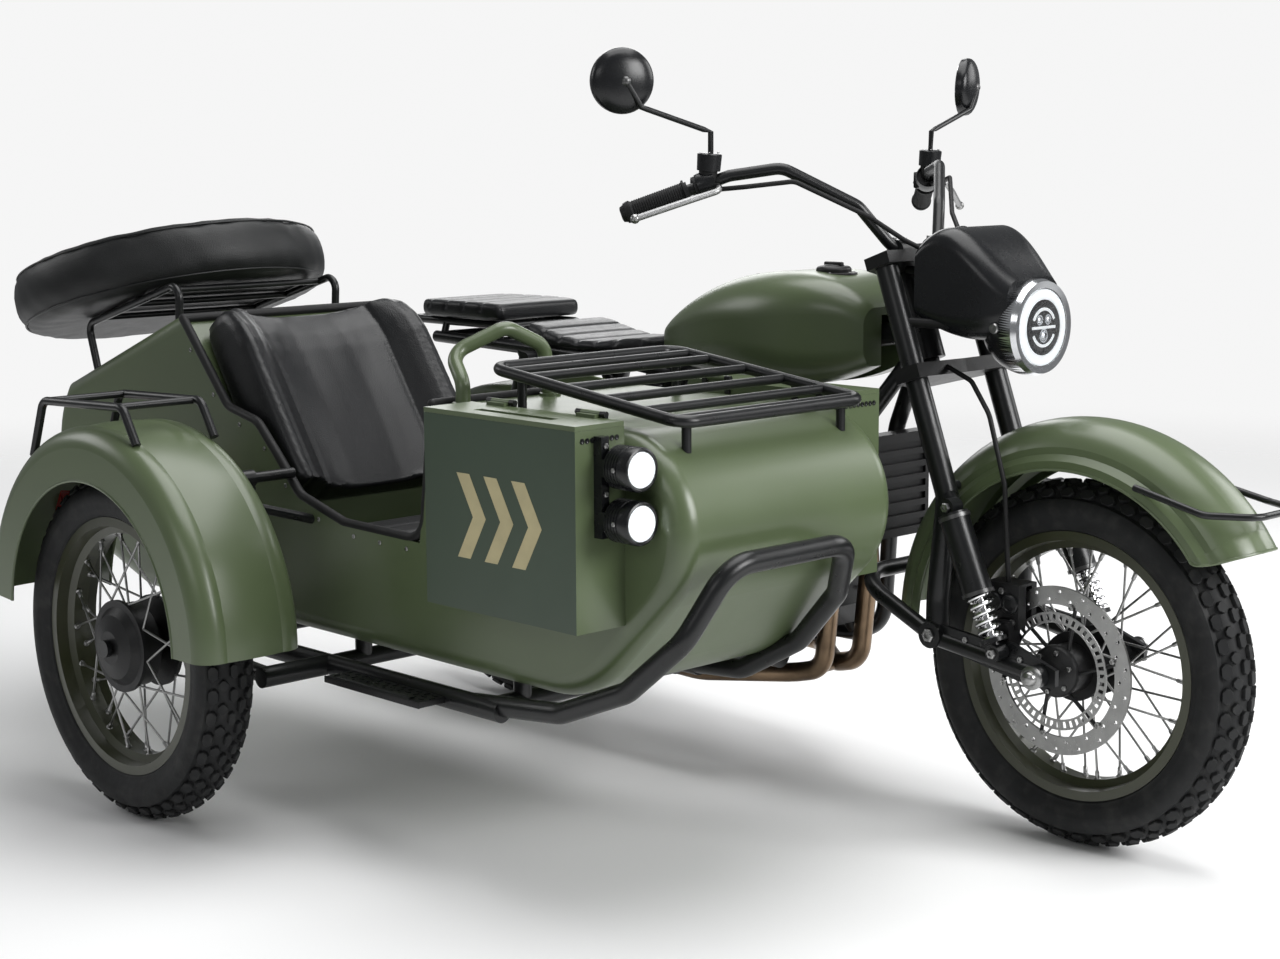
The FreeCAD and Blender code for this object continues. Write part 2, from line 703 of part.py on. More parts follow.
front_guard_x, front_guard_z = 8.0, 368.0
build_yokes()
build_fork_tubes()
build_link()
build_front_shocks()
build_guard("front_mudguard", size("front_guard_radius"), size("front_guard_width"), size("front_guard_radius") - 84,
            0, -88, 141, front_guard_x, 0, front_guard_z)
build_headlamp()
build_cowl()
build_handlebar()
build_controls()
build_mirrors()
build_caliper()
build_front_rail()
build_brake_hose()
build_cables()


# Motorcycle frame and drive

def build_main_frame():
    radius = float(size("frame_tube"))
    rear = float(-wheelbase)
    foot, top = float(size("head_foot")), float(size("head_top"))
    pieces = [bar((steer_x(foot), 0, foot), (steer_x(top), 0, top), size("head_radius"))]
    pieces.append(tube([(steer_x(900), 0, 900), (-700, 0, 850), (-1000, 0, 770), (-1120, 0, 690)], 22, 60))
    for x, z in ((-540, 875), (-820, 818)):
        pieces.append(bar((x, -36, z), (x, 36, z), 9))
    for side in (-1, 1):
        pieces.append(tube([(steer_x(880), 0, 880), (-490, side * 60, 700), (-560, side * 115, 300),
                            (-640, side * 125, 262), (-1080, side * 125, 262), (-1150, side * 120, 400),
                            (-1110, side * 110, 700), (-1020, side * 60, 765)], radius, 80))
        pieces.append(tube([(-1000, side * 40, 775), (-1080, side * 105, 800), (rear - 180, side * 105, 815)], 13, 60))
        pieces.append(tube([(-1160, side * 117, 480), (-1280, side * 108, 620), (-1400, side * 105, 812)], 12, 60))
    pieces.append(bar((-1115, -110, 690), (-1115, 110, 690), 14))
    pieces.append(bar((-1160, -118, 470), (-1160, 118, 470), 14))
    pieces.append(bar((-700, -125, 262), (-700, 125, 262), 13))
    pieces.append(bar((rear - 170, -105, 815), (rear - 170, 105, 815), 12))
    pieces.append(bar((-1240, -105, 804), (-1240, 105, 804), 11))
    pieces.append(bar((rear, -105, 811), (rear, 105, 811), 10))
    pieces.append(bar((rear, 0, 811), (rear, 0, 718.5), 9))
    for side in (-1, 1):
        pieces.append(bar((-460, side * 78, 560), (-516, side * 80, 560), 6))
        pieces.append(bar((-1000, side * 125, 262), (-1000, side * 90, 300), 14))
        pieces.append(bar((-640, side * 125, 262), (-650, side * 80, 330), 12))
        pieces.append(tube([(-930, side * 139, 264), (-930, side * 160, 300), (-930, side * 250, 300)], 9, 14))
        pieces.append(bar((-930, side * 168, 300), (-930, side * 246, 300), 15))
    shape = pieces[0].multiFuse(pieces[1:])
    stem = size("head_radius") - 12
    shape = shape.cut(bar((steer_x(foot - 30), 0, foot - 30), (steer_x(top + 30), 0, top + 30), stem))
    return solid("main_frame", [shape])


def build_engine():
    body = new_body("engine_case", 0, 0, 0)
    outline = [(-620, 330), (-600, 300), (-1000, 290), ("via", -1075, 340), (-1090, 430), (-1040, 500),
               (-800, 520), (-610, 480)]
    sketch = new_sketch(body, "engine_case_side", "XZ_Plane", [outline])
    pad(body, "engine_case_block", sketch, 210)
    covers = new_sketch(body, "engine_covers", "XZ_Plane", circles=[(-700, 395, 74), (-860, 405, 84)])
    pad(body, "engine_cover_bosses", covers, 290)
    soften(body, "engine_case_rounding", 9, lambda edge: isinstance(edge.Curve, Part.Circle) and abs(edge.Curve.Center.y) > 140)
    return body


def build_cylinders():
    """Upright twin-cylinder block with its head, cover and cooling fins."""
    body = new_body("engine_cylinders", -760, 0, 500, Rotation(Vector(0, 1, 0), 12))
    block_sketch = new_sketch(body, "cylinder_block_plan", "XY_Plane",
                              [[(-82, -118), (82, -118), (82, 118), (-82, 118)]])
    pad(body, "cylinder_block", block_sketch, 175, midplane=False)
    for number in range(6):
        fin = new_sketch(body, "fin_plan_%d" % number, "XY_Plane",
                         [[(-94, -128), (94, -128), (94, 128), (-94, 128)]], offset=26 + number * 15)
        pad(body, "fin_%d" % number, fin, 6, midplane=False)
    cover = new_sketch(body, "head_cover_plan", "XY_Plane",
                       [[(-70, -124), (70, -124), (70, 124), (-70, 124)]], offset=160)
    pad(body, "head_cover", cover, 58, midplane=False)
    return body


def build_headers():
    pieces = []
    for side in (-1, 1):
        y = side * 55
        pieces.append(tube([(-690, y, 600), (-560, y, 575), (-548, y, 430), (-570, y, 230), (-640, side * 62, 212),
                            (-780, side * 180, 212), (-1120, side * 190, 222), (-1210, side * 196, 300)], 19, 60))
    pieces.append(bar((-640, -62, 212), (-640, 62, 212), 15))
    return solid("exhaust_headers", pieces)


def build_silencers():
    pieces = []
    for side in (-1, 1):
        start, end = vec(-1195, side * 196, 298), vec(-1790, side * 210, 352)
        line = (end - start) * (1 / (end - start).Length)
        pieces.append(Part.makeCylinder(44, (end - start).Length, start, line))
        pieces.append(Part.makeCylinder(24, 60, start - line * 40, line))
        pieces.append(Part.makeCylinder(20, 60, end - line * 20, line))
        pieces.append(bar((-1260, side * 197, 305), (-1145, side * 117, 440), 8))
    return solid("silencers", pieces)


def build_radiator():
    body = new_body("radiator", -468, 0, 0)
    core = new_sketch(body, "radiator_front", "YZ_Plane", [[(-92, 502), (92, 502), (92, 700), (-92, 700)]])
    pad(body, "radiator_core", core, 34, midplane=False)
    for number in range(7):
        low = 518 + number * 25
        groove = new_sketch(body, "radiator_gap_%d" % number, "XZ_Plane",
                            [[(28, low), (44, low), (44, low + 13), (28, low + 13)]])
        pocket(body, "radiator_slot_%d" % number, groove, 164)
    return body


def build_tank():
    body = new_body("fuel_tank", 0, 0, 0)
    top = size("tank_top")
    half = size("tank_half")
    front, rear = size("tank_front"), size("tank_rear")
    long = rear - front
    stations = [(0.0, 0.55, 830, -60, 34), (0.14, 0.84, 800, -12, 60), (0.38, 1.0, 782, 0, 84),
                (0.68, 0.84, 790, -32, 70), (0.9, 0.58, 800, -90, 40), (1.0, 0.36, 815, -122, 22)]
    sections = []
    for number, (share, wide, low, drop, corner) in enumerate(stations):
        outline = rounded_section(half * wide, low, top + drop, corner)
        sections.append(new_sketch(body, "tank_section_%d" % number, "YZ_Plane", [outline],
                                   offset=-(front + long * share)))
    loft = body.newObject("PartDesign::AdditiveLoft", "tank_shell")
    loft.Profile = sections[0]
    loft.Sections = sections[1:]
    body.Tip = loft
    tunnel = new_sketch(body, "tank_tunnel", "YZ_Plane",
                        [[(-30, 700), (30, 700), (30, 925), (-30, 925)]], offset=-rear - 40)
    pocket(body, "tank_tunnel_cut", tunnel, 700, midplane=False, reverse=True)
    return body


def build_tank_cap():
    body = new_body("tank_cap", -600, 0, size("tank_top") - 6)
    outline = [(0, 0), (34, 0), (34, 10), ("via", 30, 15), (24, 16), (0, 16)]
    sketch = new_sketch(body, "tank_cap_section", "XZ_Plane", [outline])
    turn(body, "tank_cap_turned", sketch, 360, "V_Axis")
    return body


def cushion(label, outline, width, x, y, z, radius):
    body = new_body(label, x, y, z)
    sketch = new_sketch(body, label + "_side", "XZ_Plane", [outline])
    pad(body, label + "_block", sketch, width)
    soften(body, label + "_rounding", radius, lambda edge: True)
    return body


def build_seats():
    top = size("saddle_height")
    cushion("rider_seat", [(-1035, top - 58), (-1035, top - 20), ("via", -1200, top - 34), (-1365, top),
                           (-1375, top - 52)], 250, 0, 0, 0, 9)
    high = size("pillion_height")
    cushion("pillion_seat", [(-1450, high - 46), (-1450, high), (-1730, high), (-1730, high - 46)], 260, 0, 0, 0, 16)


def build_pillion_rack():
    z = float(size("pillion_height")) - 46 - 9
    pieces = [tube([(-1420, -95, z), (-1780, -95, z), (-1780, 95, z), (-1420, 95, z), (-1420, 0, z)], 9, 30)]
    pieces.append(bar((-1420, 0, z), (-1420, -95, z), 9))
    pieces.append(ball((-1420, -95, z), 9))
    for x in (-1500, -1600, -1700):
        pieces.append(bar((x, -95, z), (x, 95, z), 7))
    for x in (-1470, -1660):
        for side in (-1, 1):
            pieces.append(bar((x, side * 95, z), (x, side * 103, 824), 8))
    return solid("pillion_rack", pieces)


def build_side_panels():
    pieces = []
    for side in (-1, 1):
        pieces.append(plate([(-1010, 640), (-1040, 760), (-1240, 780), (-1290, 700), (-1180, 560)], 10, side * 146))
        for x, z in ((-1080, 712), (-1230, 760)):
            pieces.append(bar((x, side * 100, z), (x, side * 142, z), 6))
        pieces.append(bar((-1232, side * 100, 762), (-1232, side * 104, 806), 7))
    pieces.append(bar((-1230, -104, 760), (-1230, 104, 760), 6))
    return solid("side_panels", pieces)


def build_swingarm():
    rear = float(-wheelbase)
    axle = float(wheel_radius)
    pieces = []
    for side in (-1, 1):
        pieces.append(tube([(-1125, side * 84, 380), (-1300, side * 104, 352), (rear, side * 104, axle)], 19, 60))
        pieces.append(ring((rear, side * 104, axle), (0, 1, 0), 28, 0, 40))
    pieces.append(bar((-1125, -118, 380), (-1125, 118, 380), 22))
    pieces.append(ring((rear, 86, axle), (0, 1, 0), 70, 0, 48))
    pieces.append(Part.makeCone(30, 19, 90, vec(rear + 60, 100, axle + 4), vec(1, 0, 0.08)))
    pieces.append(bar((rear, -134, axle), (rear, 134, axle), axle_radius))
    return solid("swingarm", pieces)


def coil_shock(top, foot, body_radius=24):
    """Telescopic damper with a spring around its rod."""
    top, foot = vec(*top), vec(*foot)
    line = foot - top
    length = line.Length
    line.normalize()
    pieces = [Part.makeCylinder(9, length, top, line),
              Part.makeCylinder(body_radius, length * 0.3, top + line * 14, line)]
    pieces.append(spring(top + line * (11 + length * 0.3), top + line * (length * 0.86 + 4), body_radius - 6))
    pieces.append(Part.makeCylinder(body_radius, 8, top + line * (length * 0.86), line))
    pieces.append(ring(top, (0, 1, 0), 16, 0, 34))
    pieces.append(ring(foot, (0, 1, 0), 16, 0, 34))
    return pieces


# Sidecar

side_y = float(-tub_centre)
near_y = side_y - float(size("tub_width")) / 2
far_y = side_y + float(size("tub_width")) / 2


def build_chassis():
    radius = float(size("chassis_tube"))
    outer, inner = near_y - 20, far_y - 60
    pieces = [tube([(-560, outer, 300), (-1500, outer, 300), (-1620, outer + 60, 300), (-1620, inner - 60, 300),
                    (-1500, inner, 300), (-560, inner, 300)], radius, 60)]
    for x in (-600, -1050, -1400):
        pieces.append(bar((x, outer, 300), (x, inner, 300), radius - 2))
        for y in (near_y + 60, inner - 30):
            pieces.append(bar((x, y, 300), (x, y, float(size("tub_floor")) + 4), 16))
    return solid("sidecar_chassis", pieces)


def build_struts():
    """Four struts to the motorcycle's frame, and the stays of the sidecar's mudguard."""
    inner = far_y - 60
    pieces = [bar((-640, -125, 262), (-640, inner, 300), 15), bar((-1080, -125, 262), (-1080, inner, 300), 15)]
    pieces.append(tube([(-537, -97, 430), (-700, far_y + 50, 405), (-730, far_y + 26, 300), (-730, inner, 300)], 14, 40))
    pieces.append(tube([(-1136, -114, 520), (-1150, far_y + 50, 440), (-1150, far_y + 26, 300), (-1150, inner, 300)],
                       14, 40))
    for x in (-640, -1080):
        pieces.append(ring((x, -125, 262), (1, 0, 0), 26, 0, 44))
    for x in (-640, -1080, -730, -1150):
        pieces.append(ring((x, inner, 300), (1, 0, 0), 27, 0, 40))
    guard_side = -float(track) + float(size("side_guard_width")) / 2
    for x, height in ((-1450, 640), (-1120, 600)):
        pieces.append(bar((x, near_y, 560), (x, guard_side + 2, height), 9))
    return solid("sidecar_struts", pieces)


def build_side_swingarm():
    wheel_x, wheel_y = float(-side_wheel_back), float(-track)
    hub = float(size("hub_half")) + 8
    arm_y = wheel_y + float(size("tyre_width")) / 2 + 34
    pieces = [bar((-1050, near_y - 20, 300), (-1050, arm_y - 18, 300), 19)]
    pieces.append(tube([(-1050, arm_y, 300), (-1180, arm_y, 306), (wheel_x, arm_y, float(wheel_radius))], 16, 60))
    pieces.append(ring((wheel_x, arm_y, float(wheel_radius)), (0, 1, 0), 30, 0, 36))
    pieces.append(bar((wheel_x, arm_y, float(wheel_radius)), (wheel_x, wheel_y - hub - 26, float(wheel_radius)),
                      axle_radius))
    pieces.append(ring((wheel_x, wheel_y - hub - 24, float(wheel_radius)), (0, 1, 0), 16, 0, 10))
    return solid("sidecar_swingarm", pieces)


def build_rear_shocks():
    """Two dampers of the motorcycle and one of the sidecar wheel, with their pins."""
    pieces = []
    for side in (-1, 1):
        pieces += coil_shock((-1330, side * 140, 790), (-1480, side * 140, 375))
        pieces.append(bar((-1330, side * 105, 800), (-1330, side * 140, 790), 10))
        pieces.append(bar((-1480, side * 120, 345), (-1480, side * 140, 375), 10))
    y = -float(track) + float(size("hub_half")) + 42
    pieces += coil_shock((-1180, y + 60, 640), (-1280, y + 40, 350))
    pieces.append(bar((-1280, y + 40, 350), (-1280, y, 322), 9))
    pieces.append(bar((-1180, y + 60, 640), (-1180, near_y + 3, 640), 10))
    return solid("rear_shocks", pieces)


def entry_line():
    """Side view of the tub's rim from the dash to the top of the backrest."""
    return [(-770, size("deck_height")), (-800, 556), (-1030, 560), (-1165, 596), (-1235, 664), (-1298, 722),
            (-1395, 742), (-1545, 905)]


def tub_side():
    deck = size("deck_height")
    floor = size("tub_floor")
    radius = size("nose_radius")
    nose = -(size("nose_front") + radius)
    middle = deck - radius
    cut = radius * 0.7071
    low = middle - cut
    turn_out = low - floor
    keel = nose + cut - turn_out
    return [(-1720, floor + 4), (keel - 90, floor), ("via", keel - 6.9, floor + 16.5), (keel + 63.6, floor + 63.6),
            (nose + cut, low), ("via", nose + radius, middle), (nose, deck)] + entry_line() + [
            (-1600, 902), (-2000, 748), ("via", -2050, 600), (-1950, 420)]


def build_tub():
    skin = size("tub_skin")
    deck = size("deck_height")
    floor = size("tub_floor")
    half = float(size("tub_width")) / 2
    body = new_body("sidecar_tub", 0, -tub_centre, 0)
    shell = new_sketch(body, "tub_side_view", "XZ_Plane", [tub_side()])
    pad(body, "tub_block", shell, size("tub_width"))

    def on_side(edge):
        return abs(abs(edge.CenterOfMass.y) - half) < 0.1

    def outer_edge(edge):
        middle = edge.CenterOfMass
        return on_side(edge) and (middle.z < 540 or middle.x > -700 or middle.x < -1790)

    def entry_bend(edge):
        middle = edge.CenterOfMass
        return along(Vector(0, 1, 0))(edge) and -1400 < middle.x < -1000 and middle.z > 550
    soften(body, "entry_bends", size("entry_radius"), entry_bend)
    soften(body, "tub_rounding", size("tub_edge"), outer_edge)
    inner_width = size("tub_width") - size("tub_side_wall") * 2
    lean = math.tan(math.radians(float(size("seat_recline"))))
    foot = -1331 + (620 - 560) * lean
    cockpit = [(-1526, 1000), (-1520, 890), (foot, 560), (foot, floor + skin), (-470, floor + skin),
               (-330, floor + skin + 60), (-224, 520), ("via", -166, 640), (-222, 750), (-310, deck - skin),
               (-762, deck - skin), (-762, 1000)]
    hollow = new_sketch(body, "tub_cockpit_view", "XZ_Plane", [cockpit])
    pocket(body, "tub_cockpit", hollow, inner_width)
    trunk = [(-1612, 886), (-1400, 590), (-1380, floor + skin), (-1700, floor + skin + 4),
             (-1925, 430), ("via", -2030, 600), (-1985, 742)]
    bay = new_sketch(body, "tub_trunk_view", "XZ_Plane", [trunk])
    pocket(body, "tub_trunk", bay, inner_width)
    hatch = [(-1622, 1000), (-1622, 840), (-1960, 710), (-1960, 1000)]
    mouth = new_sketch(body, "tub_hatch_view", "XZ_Plane", [hatch])
    pocket(body, "tub_hatch", mouth, size("tub_width") - size("hatch_margin") * 2)
    return body


def build_coaming():
    """Rubber-covered edge around the cockpit opening."""
    pieces = []
    bend = float(size("entry_radius"))
    path = [(float(x) + 2, float(z) + 3) for x, z in entry_line()]
    for y in (near_y + 8, far_y - 8):
        pieces.append(tube([(x, y, z) for x, z in path], 9, bend - 6))
    for x, z in (path[0], path[-1]):
        pieces.append(bar((x, near_y + 8, z), (x, far_y - 8, z), 9))
        for y in (near_y + 8, far_y - 8):
            pieces.append(ball((x, y, z), 9))
    return solid("cockpit_coaming", pieces)


def build_side_seats():
    """Seat cushion, and a backrest whose wings wrap round the passenger."""
    width = size("seat_width")
    floor = size("tub_floor") + size("tub_skin") - 2
    cushion("sidecar_seat", [(-1255, floor), (-1232, 520), (-1100, 552), (-870, 560), (-850, 540), (-850, floor)],
            width, 0, -tub_centre, 0, 18)
    recline = float(size("seat_recline"))
    body = new_body("sidecar_backrest", -1331, -tub_centre, 620, Rotation(Vector(0, 1, 0), -recline))
    half = width / 2 + 14
    plan = [(-3, -half), (120, -half), ("via", 128, -half + 18), (118, -half + 44), (70, -half + 92),
            ("via", 52, 0), (70, half - 92), (118, half - 44), ("via", 128, half - 18), (120, half), (-3, half)]
    sketch = new_sketch(body, "backrest_plan", "XY_Plane", [plan], offset=-82)
    pad(body, "backrest_block", sketch, 420, midplane=False)
    slope = new_sketch(body, "backrest_top", "XZ_Plane", [[(60, 345), (140, 225), (140, 345)]])
    pocket(body, "backrest_slope", slope, width + 60)
    soften(body, "backrest_rounding", 12, lambda edge: edge.CenterOfMass.z > 200)
    return body


def build_box(label, side, y_inner):
    """Sheet-metal locker on one side of the nose, open at the top."""
    front, length = size("box_front"), size("box_length")
    depth, foot, high = size("box_depth"), size("box_foot"), size("box_height")
    skin = size("box_skin")
    body = new_body(label, -(front + length / 2), y_inner, foot)
    half = length / 2
    far = depth * side
    plan = [(-half, 0), (half, 0), (half, far), (-half, far)]
    if side < 0:
        plan = plan[::-1]
    outer = new_sketch(body, label + "_plan", "XY_Plane", [plan])
    pad(body, label + "_block", outer, high, midplane=False)
    inside = [(-half + skin, side * skin), (half - skin, side * skin), (half - skin, far - side * skin),
              (-half + skin, far - side * skin)]
    if side < 0:
        inside = inside[::-1]
    hollow = new_sketch(body, label + "_inside", "XY_Plane", [inside], offset=skin)
    pocket(body, label + "_hollow", hollow, high, midplane=False, reverse=True)
    row = [(far * (0.16 + 0.1 * number), high - 16, 3.2) for number in range(8)]
    vents = new_sketch(body, label + "_vents", "YZ_Plane", circles=row, offset=half)
    pocket(body, label + "_vent_row", vents, skin * 2.5)
    return body


def lid_level():
    """Underside of the closed locker lids."""
    return size("box_foot") + size("box_height") + size("lid_gap")


def hinge_places():
    """Middles of the barrels: the direction of the axis, and a point on it."""
    height = float(lid_level() + size("lid_thickness") + size("hinge_radius") + size("knuckle_gap"))
    middle = -float(size("box_front") + size("box_length") / 2)
    return {"right_box_lid": [((1, 0, 0), (middle + step, near_y, height)) for step in (-110, 110)],
            "left_box_lid": [((1, 0, 0), (middle + step, far_y, height)) for step in (-110, 110)],
            "trunk_lid": [((0, 1, 0), (-1590, side_y + step, 908)) for step in (-110, 110)]}


def hinge_barrels(label):
    radius, length = size("hinge_radius"), size("hinge_length")
    return [ring(middle, axis, radius, 0, length) for axis, middle in hinge_places()[label]]


def build_hinge_ears():
    """Fixed half of each hinge: two knuckles beside the barrel, on a foot."""
    radius = float(size("hinge_radius"))
    knuckle = 12.0
    reach = (float(size("hinge_length")) + knuckle) / 2 + float(size("knuckle_gap"))
    pieces = []
    for label, places in hinge_places().items():
        for axis, middle in places:
            for end in (-1, 1):
                x, y, z = (vec(*middle) + vec(*axis) * (end * reach))
                pieces.append(ring((x, y, z), axis, radius, 0, knuckle))
                if label == "trunk_lid":
                    pieces.append(block((x - 4, y - 6, 896), (x + 22, y + 6, z)))
                elif label == "right_box_lid":
                    pieces.append(block((x - 6, y, z - 34), (x + 6, y + 4, z)))
                else:
                    pieces.append(block((x - 6, y - 4, z - 34), (x + 6, y, z)))
    return solid("lid_hinges", pieces)


def build_box_lid(label, side, y_inner):
    front, length = size("box_front"), size("box_length")
    depth = size("box_depth")
    high = lid_level()
    pieces = []
    x0, x1 = float(-(front + length)), float(-front)
    ya, yb = sorted((float(y_inner) + side * 1.0, float(y_inner) + side * float(depth)))
    top = block((x0, ya, high), (x1, yb, high + float(size("lid_thickness"))))
    slot_y = float(y_inner) + side * float(depth) * 0.62
    slot = block((x0 + 90, slot_y - 9, float(high) + 4), (x1 - 90, slot_y + 9, float(high) + 20))
    pieces.append(top.cut(slot))
    for axis, (x, y, z) in hinge_places()[label]:
        half = float(size("hinge_length")) / 2
        low, high_side = sorted((y, y + side * 14.0))
        pieces.append(block((x - half, low, z - 8), (x + half, high_side, z)))
    return solid(label, pieces + hinge_barrels(label))


def build_nose_rack():
    radius = float(size("rack_tube"))
    front, rear = -196.0, -650.0
    low, high = 818.0, 872.0
    a, b = near_y + 42, far_y - 36

    def height(x):
        return low + (high - low) * (front - x) / (front - rear)
    middle = (front + rear) / 2
    pieces = [tube([(middle, a, height(middle)), (rear, a, high), (rear, b, high), (front, b, low), (front, a, low),
                    (middle, a, height(middle))], radius, 34)]
    for share in (0.2, 0.4, 0.6, 0.8):
        x = front + (rear - front) * share
        pieces.append(bar((x, a, height(x)), (x, b, height(x)), radius - 2))
    for x, base in ((front - 22, 766), (rear + 40, 795)):
        for y in (a + 34, b - 34):
            pieces.append(bar((x, y, base), (x, y, height(x)), radius - 2))
        pieces.append(bar((x, a, height(x)), (x, b, height(x)), radius - 2))
    return solid("nose_rack", pieces)


def build_grab_rail():
    path = [(-738, near_y + 52, 796), (-740, near_y + 54, 838), (-792, near_y + 72, 884),
            (-748, near_y + 160, 928), (-738, near_y + 240, 890), (-736, near_y + 252, 796)]
    pieces = [tube(path, float(size("grab_tube")), 34)]
    for x, y, z in (path[0], path[-1]):
        pieces.append(ring((x, y, float(size("deck_height")) + 2.5), (0, 0, 1), 19, 0, 5))
    return solid("grab_rail", pieces)


def build_crash_bar():
    radius = float(size("crash_tube"))
    outer = near_y - 14
    pieces = [tube([(-640, outer, 300), (-420, outer, 322), (-262, outer, 386), (-142, outer + 8, 486),
                    (-100, outer + 66, 604), (-100, -540, 604), (-180, -468, 500), (-300, -428, 392),
                    (-440, -424, 316), (-600, -410, 300)], radius, 70)]
    return solid("crash_bar", pieces)


def build_step():
    pieces = [block((-960, near_y - 95, 296), (-690, near_y - 20, 306))]
    pieces.append(bar((-930, near_y - 88, 301), (-720, near_y - 88, 301), 9))
    return solid("sidecar_step", pieces)


def build_spot_lamps():
    pieces = [block((-282, near_y - 66, 640), (-262, near_y - 50, 800))]
    for z in (752, 668):
        pieces.append(ring((-232, near_y - 37, z), (1, 0, 0), 34, 0, 44))
        pieces.append(block((-282, near_y - 66, z - 14), (-236, near_y - 22, z + 14)))
    return solid("spot_lamps", pieces)


def build_guard_rails():
    wheel_y = float(-track)
    inner, outer = wheel_y + 96, wheel_y - 92
    pieces = []
    for y in (inner - 6, outer + 20):
        pieces.append(tube([(-1564, y, 668), (-1520, y, 775), (-1240, y, 785), (-1198, y, 721)], 8, 26))
    pieces.append(bar((-1500, inner - 6, 776), (-1500, outer + 20, 776), 7))
    pieces.append(bar((-1260, inner - 6, 784), (-1260, outer + 20, 784), 7))
    return solid("mudguard_rails", pieces)


def build_tail_lamps():
    """Round lamp behind each rear mudguard, on a bracket."""
    pieces = []
    for x, y, z, radius, reach in ((-1862, 0, 570, 42, 46), (-1716, -float(track) + 50, 560, 40, 60)):
        pieces.append(ring((x, y, z), (1, 0, 0), radius, 0, 40))
        pieces.append(ring((x - 26, y, z), (1, 0, 0), radius - 6, 0, 20))
        pieces.append(block((x + 16, y - 26, z - 24), (x + 16 + reach, y + 26, z + 24)))
    return solid("tail_lamps", pieces)


def lid_height(x):
    """Height of the sloping rear deck."""
    return 902 + (x + 1600) * (902 - 748) / 400.0


def build_trunk_lid():
    width = float(size("tub_width")) - 2 * (float(size("hatch_margin")) - float(size("lid_lap")))
    x0, x1 = -1606.0, -1980.0
    skin = 6.0
    points = [(x0, lid_height(x0) + 0.3), (x1, lid_height(x1) + 0.3), (x1, lid_height(x1) + 1 + skin),
              (x0, lid_height(x0) + 1 + skin)]
    pieces = [plate(points, width, side_y)]
    for axis, (x, y, z) in hinge_places()["trunk_lid"]:
        half = float(size("hinge_length")) / 2
        pieces.append(block((-1612, y - half, 904), (x, y + half, 909)))
    return solid("trunk_lid", pieces + hinge_barrels("trunk_lid"))


def spare_rest(x, drop):
    """Height of a line parallel to the spare wheel's lower face, so far below it."""
    tilt = math.radians(float(size("spare_tilt")))
    reach = float(size("spare_thickness")) / 2 + drop
    foot_x = -float(size("spare_back")) + reach * math.sin(tilt)
    foot_z = float(size("spare_height")) - reach * math.cos(tilt)
    return foot_z + (x - foot_x) * math.tan(tilt)


def build_spare_rack():
    radius = 8.0
    drop = radius + float(size("bearing_gap"))
    pieces = []
    for y in (near_y + 64, far_y - 64):
        pieces.append(tube([(-1646, y, lid_height(-1646) + 4), (-1640, y, spare_rest(-1640, drop)),
                            (-2000, y, spare_rest(-2000, drop)), (-1966, y, lid_height(-1966) + 4)], radius, 24))
    for x in (-1700, -1820, -1940):
        z = spare_rest(x, drop)
        pieces.append(bar((x, near_y + 64, z), (x, far_y - 64, z), radius - 1.5))
    return solid("spare_rack", pieces)


def build_spare():
    body = new_body("spare_wheel", -size("spare_back"), -tub_centre, size("spare_height"),
                    Rotation(Vector(0, 1, 0), -float(size("spare_tilt"))))
    radius = size("spare_radius")
    half = size("spare_thickness") / 2
    outline = [(0, -half), (radius - 60, -half), ("via", radius - 12, -half + 22), (radius, 0),
               ("via", radius - 12, half - 22), (radius - 60, half), (0, half)]
    sketch = new_sketch(body, "spare_section", "XZ_Plane", [outline])
    turn(body, "spare_turned", sketch, 360, "V_Axis")
    return body


build_main_frame()
build_engine()
build_cylinders()
build_headers()
build_silencers()
build_radiator()
build_tank()
build_tank_cap()
build_seats()
build_pillion_rack()
build_side_panels()
build_swingarm()
build_guard("rear_mudguard", size("rear_guard_radius"), size("rear_guard_width"), size("rear_guard_radius") - 60,
            34, -105, 150, -wheelbase, 0, size("wheel_radius") + 12)
build_chassis()
build_struts()
build_side_swingarm()
build_rear_shocks()
build_tub()
build_coaming()
build_side_seats()
build_box("right_box", -1, Size(near_y))
build_box("left_box", 1, Size(far_y))
build_box_lid("right_box_lid", -1, Size(near_y))
build_box_lid("left_box_lid", 1, Size(far_y))
build_nose_rack()
build_grab_rail()
build_crash_bar()
build_step()
build_spot_lamps()
build_guard("sidecar_mudguard", size("side_guard_radius"), size("side_guard_width"), size("side_guard_radius") - 100,
            40, -86, 176, -side_wheel_back + 6, -track, size("wheel_radius") + 36)
build_guard_rails()
build_hinge_ears()
build_tail_lamps()
build_trunk_lid()
build_spare_rack()
build_spare()


def by_label(label):
    return doc.getObjectsByLabel(label)[0]


def cope(label, *against):
    """Cut a piece to the shape of the pieces that it is fastened to."""
    for other in against:
        blank = by_label(label)
        tool = by_label(other)
        blank.Label = label + "_before_" + other
        fitted = doc.addObject("Part::Cut", label + "_to_" + other)
        fitted.Base = blank
        fitted.Tool = tool
        fitted.Label = label


